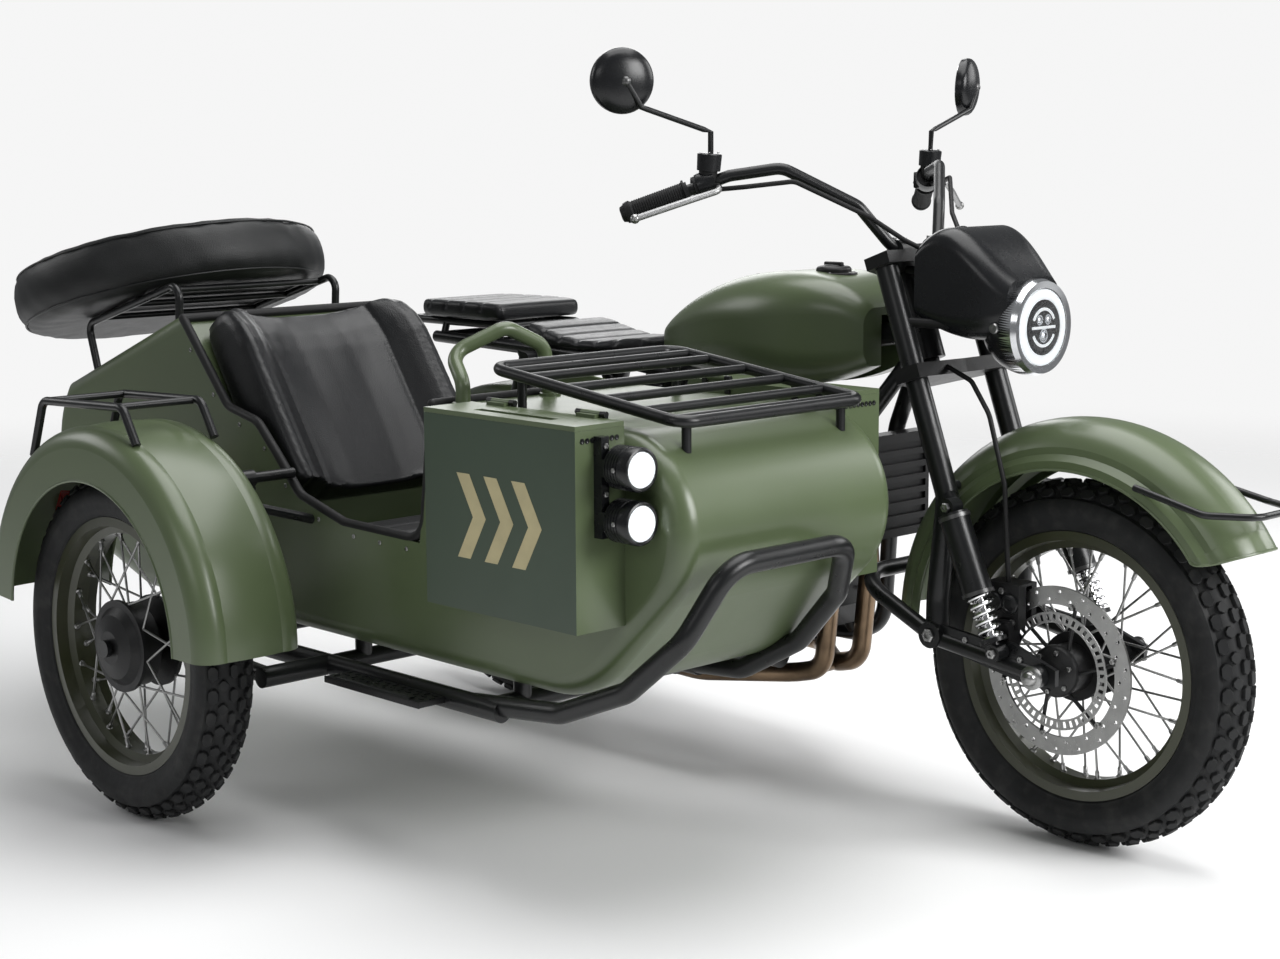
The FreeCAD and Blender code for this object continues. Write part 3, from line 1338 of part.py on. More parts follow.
doc.recompute()
FITTINGS = [
    ("front_disc", "front_rim"), ("leading_link", "fork_tubes"), ("front_shocks", "fork_tubes", "leading_link"),
    ("fork_tubes", "front_mudguard"), ("headlamp_cowl", "headlamp"),
    ("fork_yokes", "fork_tubes", "headlamp", "headlamp_cowl"),
    ("handlebar", "fork_yokes", "fork_tubes"), ("handlebar_controls", "handlebar"),
    ("mirrors", "handlebar_controls", "handlebar"), ("front_caliper", "leading_link"),
    ("front_mudguard_rail", "front_mudguard"), ("brake_hose", "fork_yokes", "front_caliper"),
    ("control_cables", "handlebar", "handlebar_controls", "headlamp_cowl"),
    ("main_frame", "radiator", "engine_case", "rear_mudguard"), ("engine_cylinders", "engine_case"),
    ("exhaust_headers", "engine_cylinders", "main_frame"), ("silencers", "exhaust_headers", "main_frame"),
    ("fuel_tank", "main_frame"), ("tank_cap", "fuel_tank"), ("rider_seat", "main_frame"),
    ("pillion_rack", "main_frame"), ("side_panels", "main_frame"), ("swingarm", "main_frame"),
    ("rear_shocks", "swingarm", "main_frame", "sidecar_swingarm", "sidecar_tub"),
    ("tail_lamps", "rear_mudguard", "sidecar_mudguard"),
    ("sidecar_chassis", "sidecar_tub"), ("crash_bar", "sidecar_chassis", "sidecar_tub"),
    ("sidecar_struts", "sidecar_chassis", "main_frame", "sidecar_tub", "sidecar_mudguard"), ("sidecar_swingarm", "sidecar_chassis"),
    ("cockpit_coaming", "sidecar_tub"),
    ("sidecar_seat", "sidecar_tub"), ("sidecar_backrest", "sidecar_tub", "sidecar_seat"),
    ("nose_rack", "sidecar_tub"), ("grab_rail", "sidecar_tub"), ("spot_lamps", "right_box"),
    ("sidecar_step", "sidecar_chassis"),
    ("mudguard_rails", "sidecar_mudguard"),
    ("spare_rack", "trunk_lid"), ("lid_hinges", "sidecar_tub"),
]
for names in FITTINGS:
    cope(*names)
doc.recompute()

os.makedirs("parts", exist_ok=True)
used = [item.Base for item in doc.Objects if item.TypeId == "Part::Cut"]
exported = [item for item in doc.Objects
            if item.TypeId in ("PartDesign::Body", "Part::Feature", "Part::Cut")
            and not item.getParentGeoFeatureGroup() and item not in used]
for item in doc.Objects:
    if "Invalid" in item.State or "Error" in item.State:
        raise RuntimeError("%s did not build: %s" % (item.Label, item.getStatusString()))
for item in exported:
    if item.Shape.isNull() or not item.Shape.isValid():
        raise RuntimeError("%s has no sound shape" % item.Label)
for item in exported:
    item.Shape.exportStep("parts/%s.step" % item.Label)
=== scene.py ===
import math
import bpy
import bmesh
import numpy as np
from mathutils import Matrix, Vector


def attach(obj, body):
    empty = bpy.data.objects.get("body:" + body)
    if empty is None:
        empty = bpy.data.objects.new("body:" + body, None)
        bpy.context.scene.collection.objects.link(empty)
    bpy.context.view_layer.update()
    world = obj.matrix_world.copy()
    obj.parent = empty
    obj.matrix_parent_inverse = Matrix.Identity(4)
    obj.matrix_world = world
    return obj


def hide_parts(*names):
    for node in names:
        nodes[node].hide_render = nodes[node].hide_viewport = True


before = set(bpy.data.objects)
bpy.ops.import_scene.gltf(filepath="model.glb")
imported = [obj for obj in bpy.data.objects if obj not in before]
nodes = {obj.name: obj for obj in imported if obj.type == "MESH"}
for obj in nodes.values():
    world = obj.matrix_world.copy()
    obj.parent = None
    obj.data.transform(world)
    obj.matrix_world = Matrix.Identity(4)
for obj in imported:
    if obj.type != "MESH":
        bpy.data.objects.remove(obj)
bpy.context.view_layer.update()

scene = bpy.context.scene

# Machine axes in millimetres: X forward from the front axle, Y left of the motorcycle's middle, Z up.
ORIGIN = Vector((0.974, 0.327, 0))
AXLE_Z = 330
LAMP_Z = 920
TUB_Y = -607
NEAR, FAR = -864.5, -349.5  # the tub's right and left side walls


def at(x, y, z):
    """A point given in the machine's millimetres."""
    return ORIGIN + Vector((x, y, z)) / 1000


# Materials

def add_node(tree, kind, **values):
    """Shader node with its input values. Underscores in a name stand for spaces."""
    item = tree.nodes.new("ShaderNode" + kind)
    for name, value in values.items():
        item.inputs[name.replace("_", " ")].default_value = value
    return item


def material(name, colour, rough, metal=0.0, vary=0.12, vary_scale=9.0, rough_vary=0.08, bump=0.1,
             bump_scale=600.0, cells=False, coat=0.0, transmission=0.0, emission=0.0, dirt=0.0, shine=0.5):
    """Surface with a slowly varying colour, uneven gloss and a fine grain."""
    item = bpy.data.materials.new(name)
    item.use_nodes = True
    tree = item.node_tree
    shader = tree.nodes["Principled BSDF"]
    link = tree.links.new
    place = add_node(tree, "TexCoord").outputs["Object"]

    def texture(kind, output, **values):
        pattern = add_node(tree, kind, **values)
        link(place, pattern.inputs["Vector"])
        return pattern.outputs[output]

    ramp = add_node(tree, "ValToRGB")
    for element, spot, share in zip(ramp.color_ramp.elements, (0.32, 0.68), (1 - vary, 1 + vary)):
        element.position = spot
        element.color = [min(1, part * share) for part in colour] + [1]
    link(texture("TexNoise", "Fac", Scale=vary_scale, Detail=5), ramp.inputs["Fac"])
    tint = ramp.outputs["Color"]
    if dirt:
        reach = add_node(tree, "MapRange", From_Min=0.5, From_Max=0.8, To_Max=dirt)
        link(texture("TexNoise", "Fac", Scale=34, Detail=9), reach.inputs["Value"])
        mix = tree.nodes.new("ShaderNodeMix")
        mix.data_type = "RGBA"
        link(reach.outputs["Result"], mix.inputs["Factor"])
        link(tint, mix.inputs["A"])
        mix.inputs["B"].default_value = (0.10, 0.098, 0.09, 1)
        tint = mix.outputs["Result"]
    link(tint, shader.inputs["Base Color"])
    spread = add_node(tree, "MapRange", To_Min=max(0.02, rough - rough_vary), To_Max=min(1.0, rough + rough_vary))
    link(texture("TexNoise", "Fac", Scale=vary_scale * 4.3, Detail=6), spread.inputs["Value"])
    link(spread.outputs["Result"], shader.inputs["Roughness"])
    if bump:
        relief = add_node(tree, "Bump", Strength=bump, Distance=0.001)
        grain = ("TexVoronoi", "Distance") if cells else ("TexNoise", "Fac")
        link(texture(*grain, Scale=bump_scale), relief.inputs["Height"])
        link(relief.outputs["Normal"], shader.inputs["Normal"])
    for socket, value in (("Metallic", metal), ("Coat Weight", coat), ("Coat Roughness", 0.25),
                          ("Specular IOR Level", shine), ("Transmission Weight", transmission)):
        shader.inputs[socket].default_value = value
    if emission:
        shader.inputs["Emission Color"].default_value = (*colour, 1)
        shader.inputs["Emission Strength"].default_value = emission
    return item


GREEN = material("olive_paint", (0.088, 0.118, 0.057), 0.33, vary=0.05, vary_scale=3.0, rough_vary=0.05, bump=0.03,
                 bump_scale=900, coat=0.3)
# Darker green for the tank's seam line, and as painted shade on the lockers' outer side faces.
SEAM_AND_SHADE_GREEN = material("dark_green_seam_and_painted_shade", (0.034, 0.058, 0.034), 0.42, vary=0.06, vary_scale=4, bump=0.03,
                      bump_scale=900, coat=0.2)
RIM_GREEN = material("rim_paint", (0.034, 0.037, 0.017), 0.34, vary=0.1, bump=0.04, bump_scale=800, coat=0.3)
TAN = material("tan_marking", (0.50, 0.44, 0.25), 0.5, vary=0.07, vary_scale=30, bump=0.05, bump_scale=700)
BLACK = material("black_powder_coat", (0.0075, 0.008, 0.0085), 0.3, vary=0.15, bump=0.1, bump_scale=1300, shine=0.42)
BLACK_ALLOY = material("black_cast_alloy", (0.011, 0.011, 0.0115), 0.42, metal=0.2, vary=0.2, bump=0.35,
                       bump_scale=420, shine=0.4)
PLASTIC = material("black_plastic", (0.0075, 0.008, 0.009), 0.26, vary=0.1, bump=0.08, bump_scale=900, shine=0.42)
RUBBER = material("black_rubber", (0.009, 0.009, 0.0095), 0.55, vary=0.2, bump=0.2, bump_scale=500, shine=0.3)
TYRE = material("tyre_rubber", (0.0115, 0.012, 0.0125), 0.62, vary=0.25, vary_scale=22, bump=0.25, bump_scale=380,
                dirt=0.2, shine=0.3)
LEATHER = material("black_leather", (0.0068, 0.0072, 0.0082), 0.33, vary=0.12, vary_scale=14, bump=0.3,
                   bump_scale=420, cells=True, shine=0.42)
COVER = material("spare_cover_vinyl", (0.0085, 0.0092, 0.0095), 0.44, vary=0.2, vary_scale=6, bump=0.3,
                 bump_scale=520, cells=True, shine=0.38)
STEEL = material("brushed_steel", (0.36, 0.36, 0.355), 0.3, metal=1.0, vary=0.08, vary_scale=40, bump=0.1,
                 bump_scale=700)
DARK_STEEL = material("dark_steel", (0.12, 0.12, 0.12), 0.36, metal=0.9, vary=0.2, bump=0.15, bump_scale=500)
CHROME = material("chrome", (0.78, 0.78, 0.79), 0.1, metal=1.0, vary=0.03, rough_vary=0.04, bump=0.0)
ALLOY = material("cast_alloy", (0.34, 0.34, 0.34), 0.42, metal=0.85, vary=0.1, bump=0.3, bump_scale=420)
BRONZE = material("heat_tinted_pipe", (0.2, 0.14, 0.09), 0.34, metal=0.95, vary=0.45, vary_scale=11, bump=0.1,
                  bump_scale=300)
MIRROR = material("mirror_glass", (0.8, 0.81, 0.83), 0.04, metal=1.0, vary=0.01, rough_vary=0.02, bump=0.0)
GLASS = material("clear_lens", (0.95, 0.96, 0.97), 0.06, vary=0.01, rough_vary=0.02, bump=0.0, transmission=1.0)
GLOW = material("white_light_strip", (0.92, 0.94, 0.95), 0.3, vary=0.02, bump=0.0, emission=0.55)
REFLECTOR = material("lamp_reflector", (0.75, 0.76, 0.78), 0.16, metal=1.0, vary=0.04, bump=0.0)
RED = material("red_lens", (0.32, 0.012, 0.012), 0.18, vary=0.1, bump=0.15, bump_scale=300, coat=0.6)
MAT = material("ribbed_floor_mat", (0.02, 0.02, 0.02), 0.75, vary=0.2, bump=0.5, bump_scale=260)

FINISH = (
    (GREEN, "front_mudguard fuel_tank side_panels rear_mudguard sidecar_tub right_box left_box right_box_lid "
            "left_box_lid grab_rail sidecar_mudguard trunk_lid"),
    (BLACK, "fork_tubes leading_link front_shocks front_mudguard_rail handlebar main_frame pillion_rack swingarm "
            "sidecar_chassis sidecar_struts sidecar_swingarm rear_shocks nose_rack crash_bar sidecar_step "
            "mudguard_rails spare_rack lid_hinges silencers"),
    (BLACK_ALLOY, "fork_yokes engine_case engine_cylinders radiator tank_cap front_caliper"),
    (PLASTIC, "headlamp_cowl mirrors headlamp spot_lamps"),
    (RUBBER, "handlebar_controls cockpit_coaming control_cables brake_hose"),
    (BRONZE, "exhaust_headers"), (STEEL, "front_disc"), (RED, "tail_lamps"), (COVER, "spare_wheel"),
    (LEATHER, "rider_seat pillion_seat sidecar_seat sidecar_backrest"),
    (TYRE, "front_tyre rear_tyre sidecar_tyre"),
    (RIM_GREEN, "front_rim rear_rim sidecar_rim"),
)
for finish, names in FINISH:
    for name in names.split():
        nodes[name].data.materials.clear()
        nodes[name].data.materials.append(finish)


def repaint(node, finish, wanted):
    """A second finish on the faces whose middle (machine millimetres) and normal pass the test."""
    mesh = nodes[node].data
    mesh.materials.append(finish)
    middles, normals = np.zeros((2, len(mesh.polygons) * 3))
    mesh.polygons.foreach_get("center", middles)
    mesh.polygons.foreach_get("normal", normals)
    middles = (middles.reshape(-1, 3) - np.array(ORIGIN)) * 1000
    indexes = np.zeros(len(mesh.polygons), np.int32)
    mesh.polygons.foreach_get("material_index", indexes)
    indexes[wanted(*middles.T, normals.reshape(-1, 3).T)] = len(mesh.materials) - 1
    mesh.polygons.foreach_set("material_index", indexes)


# Shapes

def piece(name, verts, faces, finish, body, angle=40.0):
    """Smooth mesh with sharp edges above an angle, riding on a body."""
    mesh = bpy.data.meshes.new(name)
    mesh.from_pydata([tuple(v) for v in verts], [], faces)
    mesh.validate()
    mesh.materials.append(finish)
    item = bpy.data.objects.new(name, mesh)
    scene.collection.objects.link(item)
    work = bmesh.new()
    work.from_mesh(mesh)
    bmesh.ops.recalc_face_normals(work, faces=work.faces)
    work.to_mesh(mesh)
    work.free()
    mesh.shade_smooth()
    mesh.set_sharp_from_angle(angle=math.radians(angle))
    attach(item, body)
    return item


def circle(count, start=0.0):
    """Cosine and sine of evenly spaced directions."""
    for number in range(count):
        turn = 2 * math.pi * number / count + start
        yield math.cos(turn), math.sin(turn)


def ring_at(point, line, radius, sides):
    """Points of a circle that lies across a line."""
    axes = line.to_track_quat("Z", "Y").to_matrix()
    return [point + axes @ Vector((radius * c, radius * s, 0)) for c, s in circle(sides)]


def ring_faces(rings, sides):
    """Quads between neighbouring rings of indexes, and triangles where a ring is one point."""
    faces = []
    for low, high in zip(rings, rings[1:]):
        for k in range(sides):
            follow = (k + 1) % sides
            corners = [low[k % len(low)], low[follow % len(low)], high[follow % len(high)], high[k % len(high)]]
            corners = list(dict.fromkeys(corners))
            if len(corners) > 2:
                faces.append(corners)
    return faces


def loft_mesh(loops, ends=True):
    """Mesh through a row of loops, with flat ends."""
    count = len(loops[0])
    rings = [range(number * count, (number + 1) * count) for number in range(len(loops))]
    faces = ring_faces(rings, count)
    if ends:
        faces += [list(rings[0])[::-1], list(rings[-1])]
    return [point for loop in loops for point in loop], faces


class Build:
    """Gathers many small solids into one mesh."""

    def __init__(self):
        self.verts = []
        self.faces = []

    def add(self, verts, faces):
        base = len(self.verts)
        self.verts += [Vector(v) for v in verts]
        self.faces += [[base + index for index in face] for face in faces]

    def lathe(self, profile, centre, axis, sides=32):
        """Profile of (distance along the axis, radius) turned round an axis."""
        turned = Vector(axis).normalized().to_track_quat("Z", "Y").to_matrix()
        verts, rings = [], []
        for reach, radius in profile:
            spots = [(0, 0, reach)]
            if radius >= 1e-6:
                spots = [(radius * c, radius * s, reach) for c, s in circle(sides)]
            rings.append(range(len(verts), len(verts) + len(spots)))
            verts += [Vector(centre) + turned @ Vector(spot) for spot in spots]
        self.add(verts, ring_faces(rings, sides))

    def bolt(self, centre, axis, radius, height, sides=6):
        edge = radius * 0.2
        self.lathe([(-height * 0.4, 0), (-height * 0.4, radius), (height - edge, radius), (height, radius - edge),
                    (height, radius * 0.45), (height - edge * 1.5, radius * 0.4), (height - edge * 1.5, 0)],
                   centre, axis, sides)

    def rod(self, start, end, radius, sides=10):
        start, end = Vector(start), Vector(end)
        length = (end - start).length
        self.lathe([(0, 0), (0, radius), (length, radius), (length, 0)], start, end - start, sides)

    def slab(self, low, high, bevel):
        """Block with chamfered edges between two corners."""
        work = bmesh.new()
        bmesh.ops.create_cube(work, size=1)
        for vert in work.verts:
            vert.co = Vector([low[k] if vert.co[k] < 0 else high[k] for k in range(3)])
        bmesh.ops.bevel(work, geom=list(work.edges), offset=bevel, segments=2, profile=0.6, affect="EDGES")
        work.verts.index_update()
        self.add([v.co.copy() for v in work.verts], [[v.index for v in face.verts] for face in work.faces])
        work.free()

    def done(self, name, finish, body, angle=40.0):
        return piece(name, self.verts, self.faces, finish, body, angle)


# Wheels

WHEELS = {"front": (at(0, 0, AXLE_Z), "front_wheel"), "rear": (at(-1505, 0, AXLE_Z), "rear_wheel"),
          "sidecar": (at(-1337, -1109, AXLE_Z), "sidecar_wheel")}
CROWN = 0.330  # tyre radius, radius of the tread's arc and depth of its grooves, in metres
CROWN_ARC = 0.0564
GROOVE = 0.0075
LUGS = 46


def tread_point(centre, along, across, lift):
    """Point on the tread: distances round the tyre and across it, and height over the grooves."""
    tilt = across / CROWN_ARC
    radius = CROWN - CROWN_ARC + (CROWN_ARC - GROOVE + lift) * math.cos(tilt)
    side = (CROWN_ARC - GROOVE + lift) * math.sin(tilt)
    turn = along / CROWN
    return centre + Vector((radius * math.cos(turn), side, radius * math.sin(turn)))


def tread_block(build, centre, along, across, outline):
    """Lug with flared foot and chamfered top, laid on the round of the tyre."""
    verts, faces = loft_mesh([[tread_point(centre, along + u * wide, across + v * deep, lift) for u, v in outline]
                              for wide, deep, lift in ((1.1, 1.06, -0.002), (1, 1, GROOVE - 0.0012),
                                                       (0.9, 0.9, GROOVE))], ends=False)
    faces.append(list(range(len(verts) - len(outline), len(verts))))
    build.add(verts, faces)


def rounded(length, width, corner):
    """Outline of a block with cut corners."""
    a, b = length / 2, width / 2
    return [(-a, -b + corner), (-a + corner, -b), (a - corner, -b), (a, -b + corner), (a, b - corner),
            (a - corner, b), (-a + corner, b), (-a, b - corner)]


def build_tyre(name):
    """Carcass with a rim bead and shoulder steps, and three rows of lugs on each half."""
    centre, body = WHEELS[name]
    build = Build()
    base = CROWN_ARC - GROOVE
    tilts = [math.radians(degrees) for degrees in range(-56, 57, 8)]
    tread = [(base * math.sin(tilt), CROWN - CROWN_ARC + base * math.cos(tilt)) for tilt in tilts]
    wall = [(0.0500, 0.2985), (0.0545, 0.2925), (0.0568, 0.285), (0.0574, 0.2795), (0.0562, 0.270),
            (0.0555, 0.2685), (0.0535, 0.2595), (0.0500, 0.2515), (0.0470, 0.2475), (0.0462, 0.2445),
            (0.0440, 0.2425), (0.0385, 0.2405)]
    profile = [(-y, r) for y, r in reversed(wall)] + tread + wall
    build.lathe([(-y, r) for y, r in profile], centre, (0, 1, 0), 160)
    pitch = 2 * math.pi * CROWN / LUGS
    rows = ((0, 0.0475, rounded(0.029, 0.0185, 0.0062)), (pitch / 2, 0.0285, rounded(0.021, 0.0185, 0.0068)),
            (0.004, 0.0093, rounded(0.025, 0.0135, 0.0042)))
    for number in range(LUGS):
        for side in (-1, 1):
            spot = number * pitch + (pitch / 2 if side > 0 else 0)
            for along, across, outline in rows:
                tread_block(build, centre, spot + along, side * across, outline)
    item = build.done(name + "_tread_tyre", TYRE, body, 30)
    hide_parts(name + "_tyre")


def finish_rim(name):
    """Spokes and hub in their own finishes, and the spokes' nipples."""
    centre, body = WHEELS[name]
    middle = (centre - ORIGIN) * 1000
    drum, flange = (90, 0.078) if name == "sidecar" else (64, 0.054)

    def within(limit):
        return lambda x, y, z, n: np.hypot(x - middle.x, z - middle.z) < limit
    repaint(name + "_rim", STEEL, within(205))
    repaint(name + "_rim", BLACK_ALLOY, within(drum))
    nipples = Build()
    for number in range(36):
        side = 1 if number % 2 else -1
        lean = 38.0 if number % 4 < 2 else -38.0
        turn = math.radians(10.0 * number)
        hub = turn + math.radians(lean)
        foot = centre + Vector((flange * math.cos(hub), side * 0.038, flange * math.sin(hub)))
        head = centre + Vector((0.2095 * math.cos(turn), side * 0.008, 0.2095 * math.sin(turn)))
        line = (head - foot).normalized()
        nipples.lathe([(0, 0.0026), (0.002, 0.0038), (0.013, 0.0042), (0.015, 0.0062), (0.019, 0.0062)],
                      head - line * 0.018, line, 8)
    nipples.done(name + "_spoke_nipples", STEEL, body)


for wheel in WHEELS:
    build_tyre(wheel)
    finish_rim(wheel)


def from_line(spots, start, end):
    """Distance of each spot from a line, how far along it the spot lies, and the line's length."""
    start, end = np.array(start, float), np.array(end, float)
    length = np.linalg.norm(end - start)
    line = (end - start) / length
    reach = (spots - start) @ line
    return np.linalg.norm(spots - start - reach[:, None] * line, axis=1), reach, length


def grip_point(side, reach):
    """Point on a handlebar end, measured from its tip, in machine millimetres."""
    tip, root = Vector((-726, side * 420, 1122)), Vector((-602, side * 290, 1186))
    return tip + (root - tip).normalized() * reach


def shock_top(side):
    return -183.9, side * 158, 608


def shock_foot(side):
    return -78, side * 158, 362


def springs(ends, begin, end, radius):
    """Test for the faces of open springs on lines from a top to a foot."""
    def wanted(x, y, z, n):
        picked = np.zeros(len(x), bool)
        for top, foot in ends:
            away, reach, length = from_line(np.stack((x, y, z), 1), top, foot)
            picked |= (away < radius) & (reach > begin(length)) & (reach < end(length))
        return picked
    return wanted


def on_lever(x, y, z, n):
    picked = np.zeros(len(x), bool)
    for side in (-1, 1):
        away = from_line(np.stack((x, y, z), 1), grip_point(side, 0), grip_point(side, 190))[0]
        picked |= (away > 27) & (y * side > 325) & (z < 1172)
    return picked


def finish_nodes():
    """Second finishes on pieces made of more than one material, and painted shade on the lockers' sides."""
    front = [(shock_top(side), shock_foot(side)) for side in (-1, 1)]
    rear = [((-1330, side * 140, 790), (-1480, side * 140, 375)) for side in (-1, 1)]
    rear.append(((-1180, -969, 640), (-1280, -989, 350)))
    for node, finish, wanted in (
            ("front_disc", BLACK_ALLOY, lambda x, y, z, n: np.hypot(x, z - AXLE_Z) < 116),
            ("front_shocks", CHROME, springs(front, lambda length: 13 + length * 0.55,
                                             lambda length: length - 26, 24)),
            ("rear_shocks", CHROME, springs(rear, lambda length: 15 + length * 0.3,
                                            lambda length: length * 0.86 - 0.5, 22.5)),
            ("handlebar_controls", ALLOY, on_lever),
            ("headlamp", REFLECTOR, lambda x, y, z, n: (np.hypot(y, z - LAMP_Z) > 69) & (x > -127)),
            ("tail_lamps", RED, lambda x, y, z, n: n[0] < -0.9),
            # Painted shade: the lockers' outer side faces get a darker green than their lit fronts.
            ("right_box", SEAM_AND_SHADE_GREEN, lambda x, y, z, n: (n[1] < -0.9) & (y < -968)),
            ("left_box", SEAM_AND_SHADE_GREEN, lambda x, y, z, n: (n[1] > 0.9) & (y > -246)),
            ("silencers", STEEL, lambda x, y, z, n: x < -1790),
            ("engine_case", ALLOY, lambda x, y, z, n: np.abs(y) > 112),
            ("fork_yokes", STEEL, lambda x, y, z, n: np.hypot(x + 424, y) < 26),
            ("sidecar_tub", MAT, lambda x, y, z, n: (np.abs(y - TUB_Y) < 242) & (z < 420) & (n[2] > 0.3)
             & (x > -1400))):
        repaint(node, finish, wanted)


finish_nodes()


# Front wheel and fork

def build_hub_parts():
    """Covers, bolts and sensor ring of the front hub, and the caps of its axle."""
    centre, body = WHEELS["front"]
    right, left = (0, -1, 0), (0, 1, 0)
    cover = Build()
    cover.lathe([(0.088, 0.047), (0.096, 0.046), (0.100, 0.042), (0.104, 0.030), (0.108, 0.022), (0.112, 0.012),
                 (0.112, 0.0095)], centre, right, 48)
    cover.lathe([(0.047, 0.045), (0.055, 0.044), (0.062, 0.036), (0.066, 0.022), (0.066, 0.0095)], centre, left, 48)
    cover.done("front_hub_covers", BLACK_ALLOY, body)
    bolts = Build()
    for c, s in circle(6, 0.3):
        for reach, y, axis, radius, height in ((0.036, -0.1015, right, 0.0048, 0.0045),
                                               (0.035, 0.0615, left, 0.0042, 0.004),
                                               (0.119, -0.0875, right, 0.0055, 0.004)):
            bolts.bolt(centre + Vector((c * reach, y, s * reach)), axis, radius, height)
    bolts.done("front_hub_bolts", STEEL, body)
    teeth = Build()
    count, low, high = 44, -0.0915, -0.0893
    for inner, outer in ((0.086, 0.090), (0.101, 0.105)):
        teeth.lathe([(low, inner), (low, outer), (high, outer), (high, inner), (low, inner)], centre, left, 88)
    half = math.pi / count * 0.5
    for begin, end in zip(circle(count, -half), circle(count, half)):
        corners = [(begin, 0.0895), (begin, 0.1015), (end, 0.1015), (end, 0.0895)]
        teeth.add(*loft_mesh([[centre + Vector((radius * c, y, radius * s)) for (c, s), radius in corners]
                              for y in (low, high)]))
    teeth.done("speed_sensor_ring", STEEL, body)
    ends = Build()
    for side in (-1, 1):
        ends.lathe([(0.161, 0.021), (0.166, 0.021), (0.168, 0.018), (0.1685, 0.0135), (0.174, 0.0125),
                    (0.178, 0.009), (0.1795, 0)], centre, (0, side, 0), 24)
    ends.done("front_axle_caps", STEEL, "steering")


def build_fork_fasteners():
    """Bolts of the link and the caliper, its piston caps, and the dampers' collars."""
    build, cups, rings = Build(), Build(), Build()
    for side in (-1, 1):
        out = Vector((0, side, 0))
        build.bolt(at(-233, side * 154, 367), out, 0.013, 0.007)
        for spot in (shock_foot(side), shock_top(side)):
            build.bolt(at(*spot) + out * 0.015, out, 0.0095, 0.006)
        for x, z in ((-40, 352), (12, 331), (-160, 368)):
            build.bolt(at(x, side * 141, z), out, 0.006, 0.004)
        top, foot = at(*shock_top(side)), at(*shock_foot(side))
        for reach in (0.016, 0.156):
            rings.lathe([(reach, 0.0272), (reach, 0.0292), (reach + 0.007, 0.0292), (reach + 0.007, 0.0272)], top,
                        foot - top, 36)
    for x, z in ((-126, 408), (-78, 408), (-102, 462)):
        build.bolt(at(x, -114.5, z), (0, -1, 0), 0.0062, 0.005)
    for x, z in ((-118, 440), (-84, 440)):
        cups.lathe([(-0.002, 0), (-0.002, 0.0175), (0.004, 0.0175), (0.0055, 0.016), (0.0055, 0.011),
                    (0.004, 0.010), (0.004, 0)], at(x, -114.5, z), (0, -1, 0), 32)
    build.done("fork_bolts", STEEL, "steering")
    cups.done("caliper_piston_caps", BLACK, "steering")
    rings.done("front_damper_collars", DARK_STEEL, "steering")


# Lamps

def lens_dome(build, centre, axis, radius, rise, sides=48):
    """Low round dome on a flat back."""
    profile = [(-0.002, 0), (-0.002, radius)]
    profile += [(rise * math.sin(turn), radius * math.cos(turn)) for turn in
                (math.pi / 2 * number / 7 for number in range(8))]
    build.lathe(profile, centre, axis, sides)


def ring_arc(build, centre, inner, outer, depth, begin, end, steps=14):
    """Part of a flat ring that faces forward."""
    loops = []
    for number in range(steps + 1):
        turn = math.radians(begin + (end - begin) * number / steps)
        loops.append([centre + Vector((reach, radius * math.cos(turn), radius * math.sin(turn)))
                      for radius, reach in ((inner, 0), (outer, 0), (outer, depth), (inner, depth))])
    build.add(*loft_mesh(loops))


def build_headlamp_optics():
    """Bowl, bright guides, lamp cells and glass in the headlamp's rim."""
    face, forward = at(-118, 0, LAMP_Z), (1, 0, 0)
    bowl, halo, cells, glass, bolts = Build(), Build(), Build(), Build(), Build()
    bowl.lathe([(0.0004, 0), (0.0004, 0.069), (0.003, 0.0695), (0.0005, 0.0445), (0.0015, 0.044), (0.0015, 0)],
               face, forward, 56)
    halo.lathe([(0.002, 0.049), (0.006, 0.050), (0.0075, 0.056), (0.006, 0.0665), (0.002, 0.068)], face, forward,
               64)
    for begin in (25, 205):
        ring_arc(halo, face + Vector((0.002, 0, 0)), 0.030, 0.035, 0.004, begin, begin + 130)
    halo.slab(face + Vector((0.002, -0.034, -0.0025)), face + Vector((0.006, 0.034, 0.0025)), 0.001)
    for y, z, radius in ((-0.012, 0.0135, 0.0095), (0.012, 0.0135, 0.0095), (0, -0.0145, 0.0125)):
        lens_dome(cells, face + Vector((0.0022, y, z)), forward, radius, radius * 0.45, 28)
    glass.lathe([(0.0082, 0.0695), (0.0098, 0.0695), (0.0118, 0.050), (0.0130, 0.025), (0.0134, 0), (0.0122, 0),
                 (0.0118, 0.025), (0.0106, 0.050), (0.0082, 0.0695)], face, forward, 64)
    for side in (-1, 1):
        bolts.bolt(at(-152, side * 84, 921), (0, side, 0), 0.0095, 0.006, 20)
    bowl.done("headlamp_bowl", PLASTIC, "steering")
    halo.done("headlamp_light_guides", GLOW, "steering")
    cells.done("headlamp_cells", REFLECTOR, "steering")
    glass.done("headlamp_glass", GLASS, "steering")
    bolts.done("headlamp_side_bolts", STEEL, "steering")


